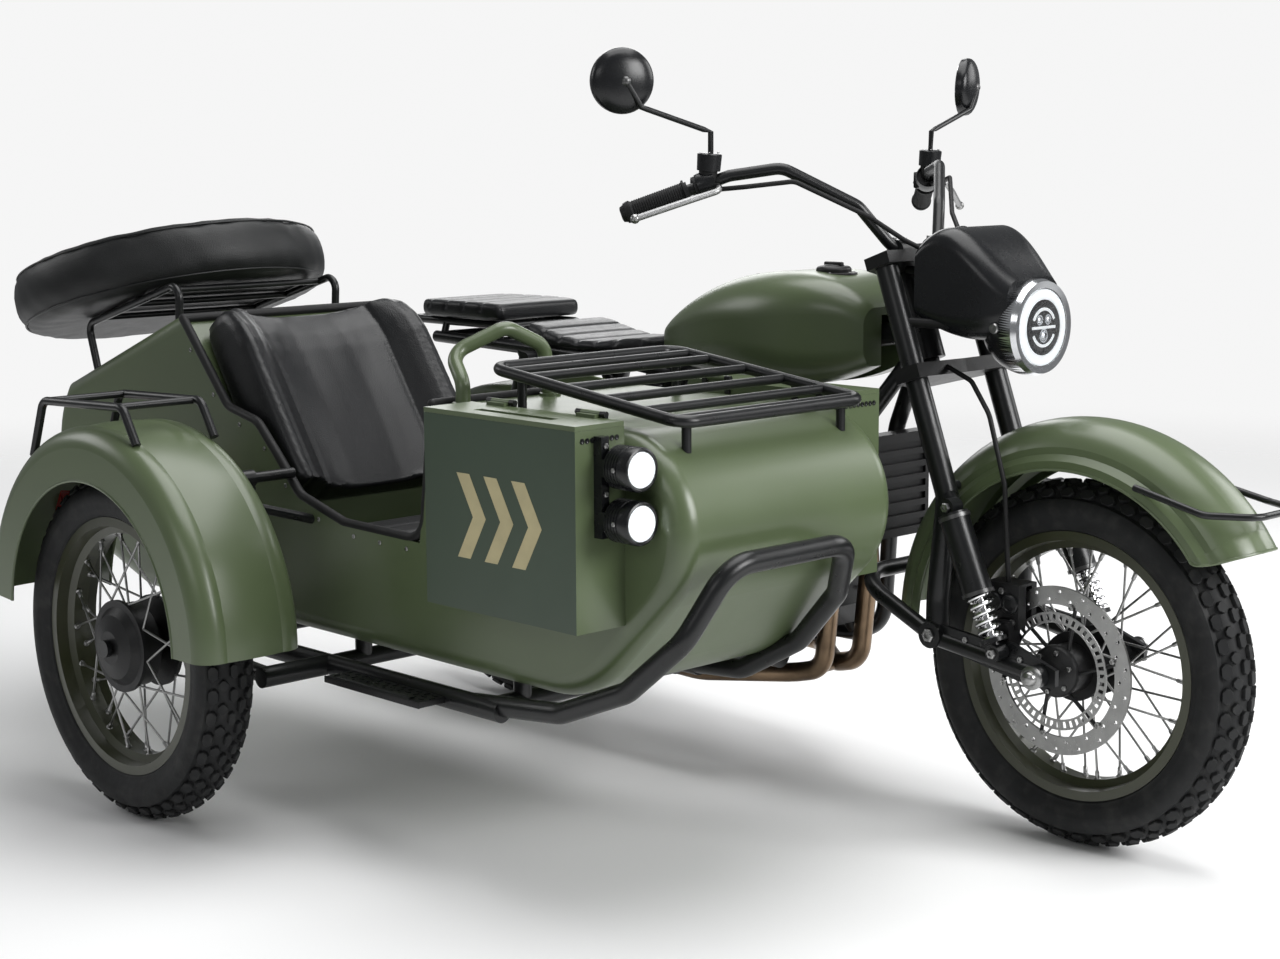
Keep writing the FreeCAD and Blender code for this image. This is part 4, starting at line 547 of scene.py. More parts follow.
def build_spot_lamp_fronts():
    """Round bezels, bowls and domed glasses of the two lamps at the locker's corner."""
    shell, bowl, glass, screws = Build(), Build(), Build(), Build()
    forward = (1, 0, 0)
    for z in (752, 668):
        face = at(-210, -901.5, z)
        shell.lathe([(-0.012, 0.0332), (-0.010, 0.0352), (0.004, 0.0355), (0.008, 0.0340), (0.009, 0.0315),
                     (0.007, 0.0285), (0.001, 0.0280), (0.0002, 0)], face, forward, 48)
        for number in range(5):
            reach = -0.016 - 0.006 * number
            shell.lathe([(reach - 0.0035, 0.0325), (reach - 0.003, 0.0350), (reach, 0.0350),
                         (reach + 0.0005, 0.0325)], face, forward, 40)
        bowl.lathe([(0.0006, 0), (0.0008, 0.007), (0.0012, 0.0105), (0.0030, 0.0185), (0.0062, 0.0275),
                    (0.0068, 0.0275), (0.0068, 0.0283)], face, forward, 40)
        lens_dome(bowl, face + Vector((0.0012, 0, 0)), forward, 0.0085, 0.005, 24)
        glass.lathe([(0.0074, 0.0280), (0.0092, 0.0272), (0.0112, 0.018), (0.0120, 0), (0.0108, 0),
                     (0.0100, 0.018), (0.0080, 0.0265), (0.0074, 0.0280)], face, forward, 40)
        for side in (-1, 1):
            screws.bolt(face + Vector((-0.020, side * 0.0325, 0)), (0, side, 0), 0.0042, 0.004)
    for z in (654, 710, 786):
        screws.bolt(at(-262, -922.5, z), forward, 0.0048, 0.004)
    shell.done("spot_lamp_bezels", PLASTIC, "chassis", 30)
    bowl.done("spot_lamp_bowls", GLOW, "chassis", 30)
    glass.done("spot_lamp_glass", GLASS, "chassis", 30)
    screws.done("spot_lamp_screws", STEEL, "chassis", 30)


# Handlebar

def build_mirror_faces():
    """Round mirrors on bent stems, with domed shells that look forward and outward."""
    shells, glasses, joints, stems = Build(), Build(), Build(), Build()
    for side in (-1, 1):
        facing = Vector((-1, -side * 0.45, 0.05)).normalized()
        back = at(-668, side * 494, 1355)
        profile = [(0.0125, 0.0545), (0.012, 0.0575), (0.004, 0.0585)]
        profile += [(-0.022 * math.sin(turn), 0.0585 * math.cos(turn)) for turn in
                    (math.pi / 2 * number / 8 for number in range(9))]
        shells.lathe(profile, back, facing, 48)
        glasses.lathe([(0.0118, 0), (0.0118, 0.0550), (0.0136, 0.0545), (0.0142, 0)], back, facing, 48)
        joint = back - facing * 0.020
        lens_dome(joints, joint + facing * 0.002, -facing, 0.010, 0.009, 20)
        root = at(*grip_point(side, 152))
        lower = root + Vector((0.006, side * 0.002, 0.092))
        upper = joint + Vector((0.006, -side * 0.030, -0.045))
        path = [root + Vector((0.004, 0, 0.020))] + [lower.lerp(upper, number / 10) for number in range(11)]
        path += [joint.lerp(upper, 0.4), joint]
        stems.add(*loft_mesh([ring_at(point, (path[min(number + 1, len(path) - 1)]
                                              - path[max(number - 1, 0)]).normalized(), 0.0052, 10)
                              for number, point in enumerate(path)]))
    item = shells.done("mirror_shells", PLASTIC, "steering")
    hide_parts("mirrors")
    glasses.done("mirror_faces", MIRROR, "steering")
    joints.done("mirror_joints", DARK_STEEL, "steering")
    stems.done("mirror_stems", BLACK, "steering")


def build_grips():
    """Ribbed grips with caps, switch pods, fluid cups, lever balls and clamp screws."""
    grips, caps, parts, screws = Build(), Build(), Build(), Build()
    for side in (-1, 1):
        tip, root = at(*grip_point(side, -6)), at(*grip_point(side, 140))
        line = (root - tip).normalized()
        profile = [(-0.004, 0), (-0.004, 0.0185), (0.004, 0.0205), (0.008, 0.0205), (0.011, 0.0175)]
        reach = 0.013
        while reach < 0.106:
            rib = ((0, 0.0174), (0.0008, 0.0184), (0.0026, 0.0184), (0.0034, 0.0174))
            profile += [(reach + step, radius) for step, radius in rib]
            reach += 0.0044
        profile += [(0.108, 0.0175), (0.110, 0.022), (0.1135, 0.022), (0.1135, 0.0165)]
        grips.lathe(profile, tip, line, 28)
        caps.lathe([(-0.004, 0.0165), (-0.0045, 0.0165), (-0.011, 0.0140), (-0.0125, 0.009), (-0.0125, 0)], tip,
                   line, 24)
        pod = at(*grip_point(side, 132))
        parts.lathe([(-0.002, 0.0215), (-0.002, 0.0235), (0.004, 0.0245), (0.022, 0.0245), (0.030, 0.0235),
                     (0.030, 0.0215)], pod, line, 28)
        middle = pod + line * 0.012
        parts.slab(middle + Vector((-0.026, -0.014, -0.020)), middle + Vector((-0.012, 0.014, 0.014)), 0.004)
        clamp = grip_point(side, 148)
        cup, upright = at(*(clamp + Vector((5.5, 0, 40)))), (0.1, 0, 1)
        parts.lathe([(-0.016, 0.0172), (-0.016, 0.0215), (0.010, 0.0225), (0.014, 0.0225), (0.0155, 0.020),
                     (0.0155, 0)], cup, upright, 32)
        for c, s in circle(4, math.pi / 4):
            screws.bolt(cup + Vector((0.0165 * c, 0.0165 * s, 0.0158)), upright, 0.0022, 0.0014, 12)
        for y, z in ((0.004, 0.004), (-0.006, -0.008)):
            screws.bolt(middle + Vector((-0.0265, y, z)), (-1, 0, 0.1), 0.0042, 0.003, 16)
        knob = at(*(clamp + Vector((-34, side * 150, -60))))
        for sign in (1, -1):
            lens_dome(screws, knob, (-0.45 * sign, side * 0.85 * sign, -0.3 * sign), 0.0088, 0.0088, 18)
            screws.bolt(at(-398 - sign * 12, side * 50, 1066), (0, 0, 1), 0.0042, 0.006)
    grips.done("ribbed_grips", RUBBER, "steering", 25)
    caps.done("grip_end_caps", BLACK_ALLOY, "steering")
    parts.done("switch_pods", PLASTIC, "steering")
    screws.done("handlebar_screws", STEEL, "steering")


def build_instrument():
    """Round gauge behind the shroud, with plain marks round its dial."""
    centre, facing = at(-309, 0, 1050), Vector((-0.86, 0, 0.51)).normalized()
    case, marks, glass = Build(), Build(), Build()
    case.lathe([(-0.030, 0), (-0.030, 0.036), (-0.008, 0.046), (0.008, 0.047), (0.012, 0.044), (0.012, 0.041),
                (0.005, 0.040), (0.005, 0)], centre, facing, 48)
    axes = facing.to_track_quat("Z", "Y").to_matrix()
    for number in range(41):
        turn = math.radians(-130 + 6.5 * number)
        out = Vector((math.sin(turn), math.cos(turn), 0))
        inner = 0.038 - (0.003 if number % 5 else 0.006)
        start, end = [centre + axes @ (out * radius) + facing * 0.0053 for radius in (inner, 0.038)]
        marks.rod(start, end, 0.0004, 5)
    marks.rod(centre + facing * 0.0065, centre + axes @ Vector((-0.018, -0.02, 0.0065)), 0.0007, 6)
    marks.lathe([(0.005, 0), (0.005, 0.004), (0.008, 0.0035), (0.008, 0)], centre, facing, 16)
    glass.lathe([(0.0100, 0), (0.0100, 0.0408), (0.0112, 0.0408), (0.0118, 0)], centre, facing, 40)
    case.done("gauge_case", PLASTIC, "steering")
    marks.done("gauge_marks", GLOW, "steering")
    glass.done("gauge_glass", GLASS, "steering")


# Tank and engine

def rounded_loop(half, low, high, corner, steps=6):
    """Section in (Y, Z) with round corners, as a loop of points."""
    right, bottom, top = half - corner, low + corner, high - corner
    points = []
    for cy, cz, begin in ((right, bottom, -90), (right, top, 0), (-right, top, 90), (-right, bottom, 180)):
        for number in range(steps + 1):
            turn = math.radians(begin + 90 * number / steps)
            points.append((cy + corner * math.cos(turn), cz + corner * math.sin(turn)))
    return points


def bead(name, path, radius, finish, body, closed=False, sides=8):
    """Thin round strip that follows a path of points."""
    build = Build()
    count = len(path)
    rings = []
    for number, point in enumerate(path):
        before = path[number - 1] if closed or number else path[0]
        after = path[(number + 1) % count] if closed or number < count - 1 else path[-1]
        rings.append(ring_at(point, (after - before).normalized(), radius, sides))
    faces = []
    for number in range(count if closed else count - 1):
        follow = (number + 1) % count
        shift = min(range(sides), key=lambda k: (rings[follow][k] - rings[number][0]).length)
        for k in range(sides):
            faces.append([number * sides + k, number * sides + (k + 1) % sides,
                          follow * sides + (k + 1 + shift) % sides, follow * sides + (k + shift) % sides])
    if not closed:
        faces += [[k for k in range(sides)], [(count - 1) * sides + k for k in range(sides)]]
    build.add([vert for ring in rings for vert in ring], faces)
    return build.done(name, finish, body)


def section_loop(node, spot, normal):
    """Outer outline of a CAD node where a plane cuts it, as one closed row of points."""
    work = bmesh.new()
    work.from_mesh(nodes[node].data)
    cut = bmesh.ops.bisect_plane(work, geom=work.verts[:] + work.edges[:] + work.faces[:], plane_co=spot,
                                 plane_no=normal)["geom_cut"]
    beside = {}
    for edge in cut:
        if isinstance(edge, bmesh.types.BMEdge):
            for vert in edge.verts:
                beside.setdefault(vert, []).append(edge)
    here = max(beside, key=lambda vert: vert.co.z)
    loop, used = [here.co.copy()], set()
    while True:
        ways = [edge for edge in beside[here] if edge not in used]
        if not ways:
            break
        used.add(ways[0])
        here = ways[0].other_vert(here)
        loop.append(here.co.copy())
    work.free()
    spaced = [loop[0]]
    for point in loop[1:-1]:
        if (point - spaced[-1]).length > 0.004:
            spaced.append(point)
    return spaced


def build_tank_parts():
    """The tank's seam, and its cap with a ring, a grip bar and screws."""
    bead("tank_seam", section_loop("fuel_tank", at(-747, 0, 0), (1, 0, 0)), 0.0012, SEAM_AND_SHADE_GREEN, "chassis", True)
    cap, screws, up = Build(), Build(), (0, 0, 1)
    cap.lathe([(-0.008, 0.0335), (-0.002, 0.046), (0.0012, 0.0455), (0.0022, 0.0425), (0.0022, 0.0345)],
              at(-600, 0, 996), up, 48)
    cap.lathe([(0.014, 0), (0.0145, 0.020), (0.0165, 0.0205), (0.0185, 0.017), (0.0190, 0)], at(-600, 0, 994), up)
    cap.slab(at(-622, -5, 1008), at(-578, 5, 1018), 0.003)
    for c, s in circle(6):
        screws.bolt(at(-600 + 40 * c, 40 * s, 998), up, 0.0025, 0.0012, 12)
    cap.done("tank_cap_ring", BLACK_ALLOY, "chassis")
    screws.done("tank_cap_screws", STEEL, "chassis")


def build_engine_parts():
    """Bolts round both covers on each side of the engine, and the covers' caps."""
    bolts, caps = Build(), Build()
    for side in (-1, 1):
        out = (0, side, 0)
        for x, z, radius, count in ((-700, 395, 66, 8), (-860, 405, 76, 9)):
            for c, s in circle(count, 0.2):
                bolts.bolt(at(x + radius * c, side * 144, z + radius * s), out, 0.0052, 0.005)
            caps.lathe([(0, 0.034), (0.004, 0.034), (0.006, 0.031), (0.006, 0.024), (0.0035, 0.022), (0.0035, 0)],
                       at(x, side * 144.5, z), out, 36)
        for x, z in ((-610, 360), (-620, 440), (-780, 505), (-960, 495), (-1040, 440), (-1050, 370), (-940, 315),
                     (-780, 310)):
            bolts.bolt(at(x, side * 104.5, z), out, 0.005, 0.005)
    bolts.done("engine_bolts", STEEL, "chassis")
    caps.done("engine_cover_caps", BLACK_ALLOY, "chassis")


# Sidecar body

def guard_arc(centre_x, y, centre_z, radius, begin, end, steps=60):
    """Points on a wheel guard's edge, from one angle to another, from straight up."""
    points = []
    for number in range(steps + 1):
        angle = math.radians(begin + (end - begin) * number / steps)
        points.append(at(centre_x + radius * math.sin(angle), y, centre_z + radius * math.cos(angle)))
    return points


GUARD_X, GUARD_Z = 8, 368
GUARD_OUTLINE = ((0, 402), (27, 399), (43, 393.5), (57, 385), (70, 372), (79, 356), (81, 344), (92, 333), (92, 318))


def guard_section(share, lift=0.0):
    """Across and up on the front mudguard's section, from its crown (0) to its lower edge (1)."""
    across, radius = np.array(GUARD_OUTLINE, float).T
    along = np.concatenate([[0], np.cumsum(np.hypot(np.diff(across), np.diff(radius)))])
    reach = abs(share) * along[-1]
    y, r = np.interp(reach, along, across), np.interp(reach, along, radius)
    return math.copysign(y * (1 - lift / 92), share), r - lift


def guard_tip_point(degrees, share, lift=0.0):
    y, radius = guard_section(share, lift)
    turn = math.radians(degrees)
    return at(GUARD_X + radius * math.sin(turn), y, GUARD_Z + radius * math.cos(turn))


def build_front_guard_tip():
    """Rounded tip that carries the front mudguard on past its flanges, with a rolled edge."""
    rows, columns, skin = 16, 44, 3.0
    begin, reach = 52.9, 5.5
    turned = [(begin + reach * math.sin(turn), max(0.10, math.cos(turn))) for turn in
              (math.pi / 2 * row / rows for row in range(rows + 1))]
    spans = [2 * column / columns - 1 for column in range(columns + 1)]
    loops = []
    for degrees, spread in turned:
        outer = [guard_tip_point(degrees, spread * span) for span in spans]
        loops.append(outer + [guard_tip_point(degrees, spread * span, skin) for span in spans[::-1]])
    verts, faces = loft_mesh(loops, ends=False)
    last = len(loops[0]) - 1
    for base in (0, len(verts) - last - 1):
        faces += [[base + k, base + k + 1, base + last - k - 1, base + last - k] for k in range(columns)]
    piece("front_mudguard_tip", verts, faces, GREEN, "steering", 50)
    sides = [guard_arc(GUARD_X, y, GUARD_Z, 317.5, -88, 52.5) for y in (-91.2, 91.2)]
    tip = [(degrees, -spread) for degrees, spread in turned]
    tip += [(turned[-1][0], turned[-1][1] * share) for share in (-0.5, 0, 0.5)] + turned[::-1]
    bead("front_mudguard_edge", sides[0] + [guard_tip_point(*spot, 1.2) for spot in tip] + sides[1][::-1], 0.0028,
         GREEN, "steering")


def build_guard_edges():
    """Rolled edges of the sidecar's and the rear mudguard."""
    for side, word in ((-1, "right"), (1, "left")):
        bead("sidecar_mudguard_edge_" + word, guard_arc(-1331, -1109 + side * 106.3, 366, 280, -86, 90), 0.003,
             GREEN, "chassis")
        bead("rear_mudguard_edge_" + word, guard_arc(-1505, side * 83.8, 342, 318, -105, 45), 0.003, GREEN,
             "chassis")


def build_box_parts():
    """Slanted bars painted on the lockers' sides, the stamped row at the front, and the lids' seals."""
    motif, holes, seals = Build(), Build(), Build()
    arrow = ((-34, 578), (-2, 578), (38, 648), (-2, 718), (-34, 718), (6, 648))
    for side, face_y, inner in ((-1, -969.5, NEAR), (1, -244.5, FAR)):
        for number in range(3):
            verts = [at(number * 68 - 533 + x, y, z) for y in (face_y - side * 0.2, face_y + side * 0.35)
                     for x, z in arrow]
            faces = [[0, 1, 2, 5], [5, 2, 3, 4], [11, 8, 7, 6], [10, 9, 8, 11]]
            motif.add(verts, faces + [[k, (k + 1) % 6, (k + 1) % 6 + 6, k + 6] for k in range(6)])
        for number in range(8):
            holes.lathe([(0.0001, 0), (0.0001, 0.0032), (0.0012, 0.0046), (0.0012, 0.0034)],
                        at(-280.2, inner + side * 105 * (0.16 + 0.1 * number), 794), (1, 0, 0), 14)
        y0, y1 = sorted((inner + side * 1.5, inner + side * 104))
        for x, y, far_x, far_y in ((-649, y0, -281, y0 + 3), (-649, y1 - 3, -281, y1), (-649, y0, -646, y1),
                                   (-284, y0, -281, y1)):
            seals.slab(at(x, y, 807.5), at(far_x, far_y, 810.2), 0.0004)
    motif.done("locker_marking", TAN, "chassis", 20)
    holes.done("locker_vent_edges", BLACK, "chassis")
    seals.done("locker_seals", RUBBER, "chassis", 30)


def build_rivets():
    """Screws below the rim of the cockpit on both sides of the tub."""
    screws = Build()
    rim = [(-800, 556), (-1030, 560), (-1165, 596), (-1235, 664), (-1298, 722), (-1395, 742), (-1545, 905)]
    for (x0, z0), (x1, z1) in zip(rim, rim[1:]):
        count = max(1, int(math.hypot(x1 - x0, z1 - z0) / 75))
        for number in range(count):
            share = (number + 0.5) / count
            for y, side in ((NEAR, -1), (FAR, 1)):
                screws.bolt(at(x0 + (x1 - x0) * share, y - side * 0.2, z0 + (z1 - z0) * share - 16), (0, side, 0),
                            0.0042, 0.0022, 16)
    screws.done("tub_screws", STEEL, "chassis")


def build_step_tread():
    """Raised bars on the step plate, laid crosswise, and its bright outer edge."""
    tread = Build()
    for row in range(12):
        for column in range(4):
            x = -948 + row * 22 + (11 if column % 2 else 0)
            y = NEAR - 78 + column * 15
            along, across = (6, 2) if (row + column) % 2 else (2, 6)
            tread.slab(at(x - along, y - across, 305.6), at(x + along, y + across, 307.4), 0.0008)
    tread.done("step_tread", BLACK, "chassis", 30)
    edge = Build()
    edge.slab(at(-960, NEAR - 97, 295), at(-690, NEAR - 94, 307), 0.001)
    edge.done("step_outer_edge", BLACK_ALLOY, "chassis", 30)


# Upholstery

def apply_all(item):
    """The mesh as its modifiers leave it, without them."""
    graph = bpy.context.evaluated_depsgraph_get()
    made = bpy.data.meshes.new_from_object(item.evaluated_get(graph))
    item.modifiers.clear()
    old = item.data
    item.data = made
    bpy.data.meshes.remove(old)


def read_points(mesh, kind="co"):
    values = np.zeros(len(mesh.vertices) * 3)
    mesh.vertices.foreach_get(kind, values)
    return values.reshape(-1, 3)


def pressed(item, start, held, pressure):
    """How far each point moves when the cover is pressed out from inside."""
    group = item.vertex_groups.new(name="held")
    group.add([int(k) for k in np.nonzero(held)[0]], 1.0, "REPLACE")
    cloth = item.modifiers.new("press", "CLOTH")
    settings = {"quality": 5, "mass": 0.3, "tension_stiffness": 45, "compression_stiffness": 45,
                "bending_stiffness": 6, "use_pressure": True, "uniform_pressure_force": pressure,
                "vertex_group_mass": "held"}
    for name, value in settings.items():
        setattr(cloth.settings, name, value)
    cloth.settings.effector_weights.gravity = 0
    cloth.collision_settings.use_collision = False
    cloth.point_cache.frame_end = 20
    for number in range(1, 21):
        scene.frame_set(number)
    graph = bpy.context.evaluated_depsgraph_get()
    step = read_points(item.evaluated_get(graph).to_mesh()) - start
    item.evaluated_get(graph).to_mesh_clear()
    item.modifiers.clear()
    scene.frame_set(1)
    return step


def settle(mesh, step, pinned, rounds=60):
    """Even out how far neighbouring points moved, so that the cover ends up taut, without folds."""
    pairs = np.array([edge.vertices[:] for edge in mesh.edges])
    beside = np.bincount(pairs.ravel(), minlength=len(step))[:, None]
    for _ in range(rounds):
        total = np.zeros_like(step)
        for here, there in (pairs.T, pairs.T[::-1]):
            np.add.at(total, here, step[there])
        step = np.where(pinned[:, None], 0.0, 0.5 * step + 0.5 * total / beside)
    return step


def upholster(name, node, loops, cell, held, channels=(), pressure=4.0, cap=0.012):
    """Padded piece: pressed out from inside, held where it rests and along its sewn lines."""
    item = piece(name, *loft_mesh(loops), LEATHER, "chassis")
    tool = item.modifiers.new("remesh", "REMESH")
    tool.mode = "VOXEL"
    tool.voxel_size = cell
    tool.use_smooth_shade = True
    apply_all(item)
    mesh = item.data
    shaped = read_points(mesh)
    machine = (shaped - np.array(ORIGIN)) * 1000
    pinned = held(machine)
    sewn = np.zeros(len(shaped))
    for distance in channels:
        sewn = np.maximum(sewn, np.exp(-(distance(machine) / 5.0) ** 2))
    step = pressed(item, shaped, pinned | (sewn > 0.75), pressure)
    far = np.linalg.norm(step, axis=1)
    step *= np.minimum(1, cap / np.maximum(far, 1e-9))[:, None]
    shaped = shaped + settle(mesh, step, pinned)
    mesh.vertices.foreach_set("co", shaped.ravel())
    mesh.update()
    shaped -= read_points(mesh, "normal") * (0.0035 * sewn)[:, None]
    mesh.vertices.foreach_set("co", shaped.ravel())
    finer = item.modifiers.new("finer", "SUBSURF")
    finer.levels = finer.render_levels = 1
    apply_all(item)
    item.data.shade_smooth()
    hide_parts(node)


def cushion(name, node, middle_y, stations, cell, held_below, sewn_above, channels, cap=0.012, extra=()):
    """Seat pad through sections of (x, half width, low, high, corner), sewn across at the channels."""
    loops = [[at(x, middle_y + y, z) for y, z in rounded_loop(half, low, high, corner, 5)]
             for x, half, low, high, corner in stations]
    lines = [lambda spots, x=x: np.where(spots[:, 2] > sewn_above, spots[:, 0] - x, 99) for x in channels]
    upholster(name, node, loops, cell, lambda spots: spots[:, 2] < held_below, lines + list(extra), cap=cap)


def build_seats():
    cushion("rider_saddle", "rider_seat", 0,
            [(-1036, 70, 814, 842, 8), (-1046, 84, 812, 850, 14), (-1090, 98, 811, 846, 16),
             (-1150, 110, 810, 838, 16), (-1210, 118, 810, 836, 16), (-1280, 122, 811, 846, 17),
             (-1335, 122, 813, 860, 20), (-1364, 116, 815, 864, 18), (-1373, 104, 817, 856, 12)],
            0.005, 817, 828, (-1110, -1160, -1210, -1260, -1310))
    cushion("pillion_saddle", "pillion_seat", 0,
            [(-1452, 106, 866, 892, 13), (-1460, 120, 862, 898, 13), (-1500, 126, 860, 900, 13),
             (-1590, 127, 860, 900, 13), (-1690, 124, 860, 899, 13), (-1720, 116, 862, 897, 13),
             (-1728, 100, 866, 890, 13)], 0.005, 864, 880, (-1510, -1570, -1630, -1690))
    cushion("sidecar_cushion", "sidecar_seat", TUB_Y,
            [(-1246, 196, 372, 500, 16), (-1240, 208, 360, 508, 16), (-1180, 214, 352, 522, 16),
             (-1100, 215, 350, 540, 16), (-1000, 215, 350, 546, 16), (-900, 214, 350, 548, 16),
             (-864, 208, 352, 544, 16), (-855, 194, 360, 532, 16)], 0.007, 400, 500, (-940, -1020, -1100), 0.014,
            [lambda spots: np.where(np.abs(spots[:, 2] - 500) < 30, spots[:, 2] - 506, 99)])


BACK_LEAN = math.radians(35)
BACK_FOOT = (-1331, 620)


def backrest_local(spots):
    """Machine points seen from the backrest: ahead of its back face, across, and up along it."""
    x, y, z = spots[:, 0] - BACK_FOOT[0], spots[:, 1] - TUB_Y, spots[:, 2] - BACK_FOOT[1]
    c, s = math.cos(BACK_LEAN), math.sin(BACK_LEAN)
    return x * c + z * s, y, z * c - x * s


def backrest_point(ahead, across, up):
    c, s = math.cos(BACK_LEAN), math.sin(BACK_LEAN)
    return at(BACK_FOOT[0] + ahead * c - up * s, TUB_Y + across, BACK_FOOT[1] + ahead * s + up * c)


def build_backrest():
    """Wrap-round back: a shallow hollow between two wings, with piping where they meet."""
    loops = []
    for up, shrink, front in ((-78, 16, 0), (-70, 7, 0), (-40, 5, 0), (60, 5, 0), (160, 5, 0), (230, 6, 0),
                              (270, 8, -8), (305, 12, -26), (322, 20, -40), (330, 32, -52)):
        half, rear = 234 - shrink, shrink * 0.3
        plan = [(50, -half - 0.5), (100 + front, -half + 1), (116 + front, -half + 9), (121 + front, -half + 22),
                (117 + front, -half + 38), (100 + front * 0.9, -half + 60), (76 + front * 0.8, -half + 84),
                (58 + front * 0.6, -half + 130), (49 + front * 0.5, -60), (47 + front * 0.5, 0)]
        plan = [(2 + rear, -half), plan[0]] + [(max(ahead, 14 + rear), across) for ahead, across in plan[1:]]
        loop = plan + [(ahead, -across) for ahead, across in plan[-2::-1]]
        loop += [(2 + rear, half * share) for share in (0.6, 0.2, -0.2, -0.6)]
        loops.append([backrest_point(ahead, across, up) for ahead, across in loop])

    def held(spots):
        ahead, across, up = backrest_local(spots)
        return (ahead < 7) | (up < -66)

    def seam(value):
        def distance(spots):
            ahead, across, up = backrest_local(spots)
            return np.where(ahead > 14, np.abs(across) - value, 99)
        return distance
    upholster("sidecar_back_cushion", "sidecar_backrest", loops, 0.0075, held, [seam(140), seam(196)], cap=0.016)


# Spare wheel cover

def build_spare_cover():
    """Vinyl cover pulled over the spare wheel: soft shoulders, a drawn hem and slack round it."""
    tilt = math.radians(16)
    centre = at(-1975, TUB_Y, 950)
    axes = Matrix((Vector((math.cos(tilt), 0, math.sin(tilt))), Vector((0, 1, 0)),
                   Vector((-math.sin(tilt), 0, math.cos(tilt))))).transposed()
    profile = [(0.0335 * share, 0.0646 - 0.004 * math.sin(math.pi * share / 8)) for share in range(9)]
    profile += [(0.290, 0.0640), (0.303, 0.0620), (0.314, 0.0570), (0.322, 0.0495), (0.3275, 0.040), (0.331, 0.028),
                (0.3335, 0.014), (0.3342, 0), (0.3336, -0.014), (0.331, -0.027), (0.3268, -0.038),
                (0.3205, -0.0475), (0.3125, -0.0555), (0.302, -0.0605), (0.290, -0.0632), (0.276, -0.0645),
                (0.2, -0.0648), (0.1, -0.0648), (0.0, -0.0648)]
    sides = 128
    verts, rings = [], []
    for radius, height in profile:
        rings.append(range(len(verts), len(verts) + (sides if radius > 1e-6 else 1)))
        weight = max(0.0, min(1.0, (radius - 0.18) / 0.14))
        for k in range(len(rings[-1])):
            turn = 2 * math.pi * k / sides
            slack = weight * abs(0.0011 * math.sin(9 * turn + 1.3 * math.sin(3 * turn))
                                 + 0.0007 * math.sin(23 * turn + height * 60))
            reach = radius * (1 - slack * 3)
            verts.append(centre + axes @ Vector((reach * math.cos(turn), reach * math.sin(turn),
                                                 height - slack * (1 if height > 0 else -1))))
    item = piece("spare_wheel_cover", verts, ring_faces(rings, sides), COVER, "trunk_cover", 60)
    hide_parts("spare_wheel")
    for word, radius, height in (("upper", 0.3205, 0.0518), ("lower", 0.3195, -0.0495)):
        path = [centre + axes @ Vector((radius * c, radius * s, height)) for c, s in circle(96)]
        bead("spare_cover_piping_" + word, path, 0.0022, COVER, "trunk_cover", True, 6)


for build_part in (build_hub_parts, build_fork_fasteners, build_headlamp_optics, build_spot_lamp_fronts,
                   build_mirror_faces, build_grips, build_instrument, build_tank_parts, build_engine_parts,
                   build_front_guard_tip, build_guard_edges, build_box_parts, build_rivets, build_step_tread,
                   build_seats, build_backrest, build_spare_cover):
    build_part()


# Camera, light and floor

CAMERA_AZIMUTH, CAMERA_ELEVATION, CAMERA_ROLL = math.radians(45.96), math.radians(8.83), math.radians(-0.26)
CAMERA_SPOT = (3.2004, -2.9274, 1.2629)


def build_camera():
    """Camera at the photograph's place and angle."""
    data = bpy.data.cameras.new("photo_camera")
    data.sensor_width = 36
    data.lens = 62.65
    data.clip_end = 60
    item = bpy.data.objects.new("photo_camera", data)
    scene.collection.objects.link(item)
    a, e, roll = CAMERA_AZIMUTH, CAMERA_ELEVATION, CAMERA_ROLL
    back = Vector((math.sin(a) * math.cos(e), -math.cos(a) * math.cos(e), math.sin(e)))
    right = Vector((math.cos(a), math.sin(a), 0))
    up = back.cross(right)
    right, up = right * math.cos(roll) + up * math.sin(roll), up * math.cos(roll) - right * math.sin(roll)
    turned = Matrix((right, up, back)).transposed().to_4x4()
    item.matrix_world = Matrix.Translation(CAMERA_SPOT) @ turned
    scene.camera = item


def build_light(name, spot, target, width, height, power):
    data = bpy.data.lights.new(name, "AREA")
    data.shape = "RECTANGLE"
    data.size = width
    data.size_y = height
    data.energy = power
    item = bpy.data.objects.new(name, data)
    scene.collection.objects.link(item)
    item.location = spot
    item.rotation_euler = (Vector(target) - Vector(spot)).to_track_quat("-Z", "Y").to_euler()


def fade_out(tree, shader):
    """Let the floor run out into the background some metres away."""
    place = add_node(tree, "TexCoord")
    away = add_node(tree, "VectorMath")
    away.operation = "LENGTH"
    share = add_node(tree, "MapRange", From_Min=2.2, From_Max=6.5)
    share.interpolation_type = "SMOOTHSTEP"
    mix = add_node(tree, "MixShader")
    link = tree.links.new
    link(place.outputs["Object"], away.inputs[0])
    link(away.outputs["Value"], share.inputs["Value"])
    link(share.outputs["Result"], mix.inputs[0])
    link(shader.outputs["BSDF"], mix.inputs[1])
    link(add_node(tree, "BsdfTransparent").outputs["BSDF"], mix.inputs[2])
    link(mix.outputs["Shader"], tree.nodes["Material Output"].inputs["Surface"])


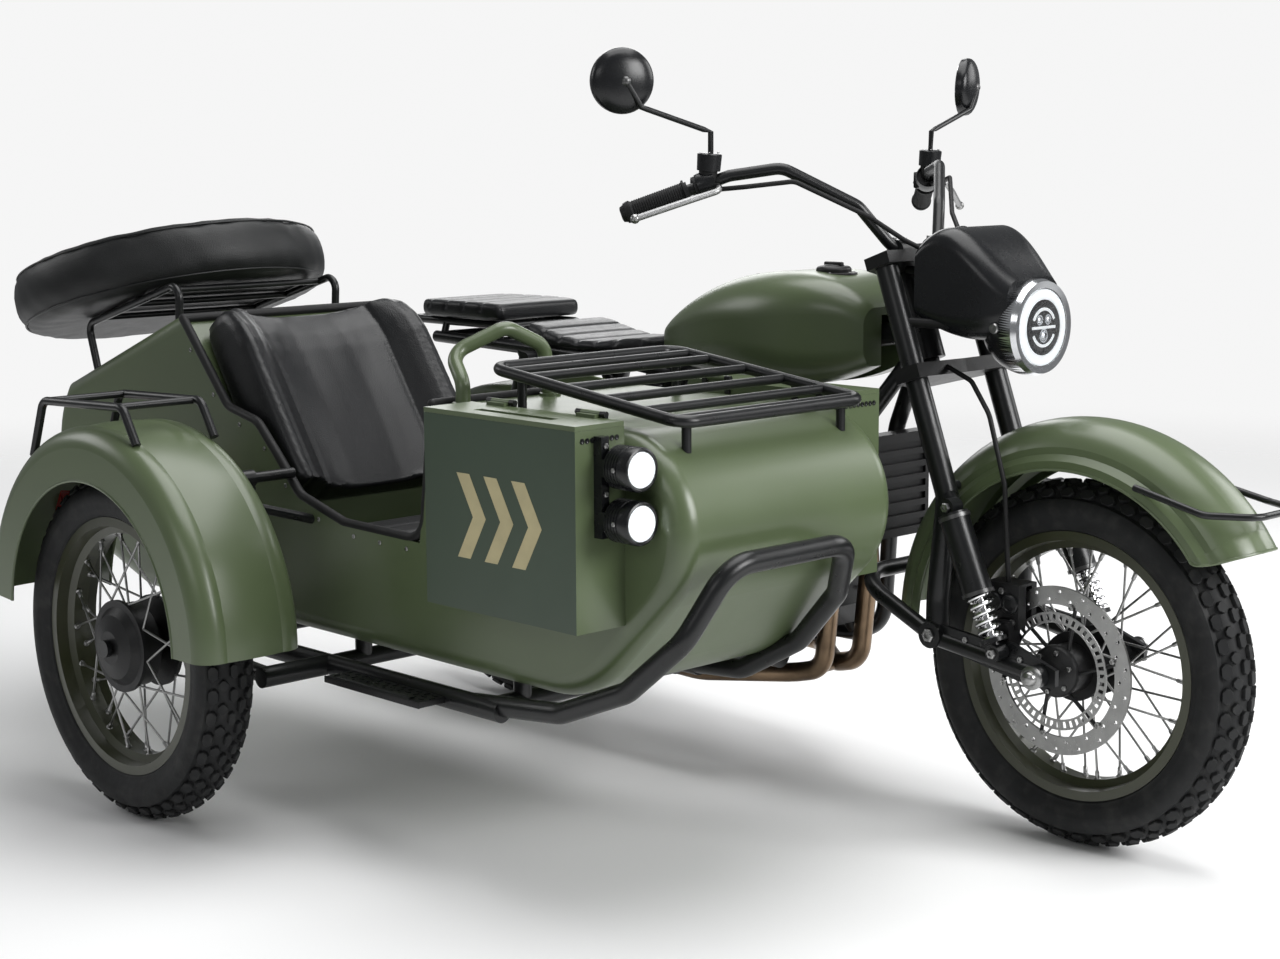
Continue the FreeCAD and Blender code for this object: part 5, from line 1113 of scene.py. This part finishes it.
def build_world():
    """Soft dim sky, seen as a pale background by the camera and through glass."""
    world = bpy.data.worlds.new("studio")
    scene.world = world
    world.use_nodes = True
    tree = world.node_tree
    tree.nodes.clear()
    link = tree.links.new
    soft = add_node(tree, "Background", Color=(0.86, 0.88, 0.9, 1), Strength=0.22)
    seen = add_node(tree, "Background", Color=(0.92, 0.92, 0.92, 1))
    rays = add_node(tree, "LightPath")
    either = add_node(tree, "Math")
    either.operation = "MAXIMUM"
    link(rays.outputs["Is Camera Ray"], either.inputs[0])
    link(rays.outputs["Is Transmission Ray"], either.inputs[1])
    mix = add_node(tree, "MixShader")
    for number, output in enumerate((either.outputs[0], soft.outputs[0], seen.outputs[0])):
        link(output, mix.inputs[number])
    link(mix.outputs[0], add_node(tree, "OutputWorld").inputs[0])


def build_stage():
    mesh = bpy.data.meshes.new("studio_floor")
    mesh.from_pydata([(-30, -30, 0), (30, -30, 0), (30, 30, 0), (-30, 30, 0)], [], [(0, 1, 2, 3)])
    floor = bpy.data.objects.new("studio_floor", mesh)
    scene.collection.objects.link(floor)
    paper = bpy.data.materials.new("pale_floor")
    paper.use_nodes = True
    shader = paper.node_tree.nodes["Principled BSDF"]
    shader.inputs["Base Color"].default_value = (0.93, 0.93, 0.93, 1)
    shader.inputs["Roughness"].default_value = 0.9
    shader.inputs["Specular IOR Level"].default_value = 0.1
    fade_out(paper.node_tree, shader)
    mesh.materials.append(paper)
    for name, spot, width, height, power in (("top", (0.3, 0.4, 4.4), 4.6, 3.2, 165),
                                             ("front", (4.9, 1.0, 2.6), 2.4, 2.2, 190),
                                             ("right", (1.6, -5.0, 3.0), 2.6, 1.2, 22),
                                             ("left", (2.0, 4.2, 2.6), 2.6, 2.2, 60),
                                             ("rear_right", (-4.4, -2.6, 3.0), 2.4, 1.8, 38),
                                             ("rear_left", (-3.6, 3.6, 2.8), 2.6, 2.2, 50)):
        build_light(name + "_light", spot, (0, -0.2, 0.5), width, height, power)


build_camera()
build_world()
build_stage()
scene.view_settings.view_transform = "Standard"
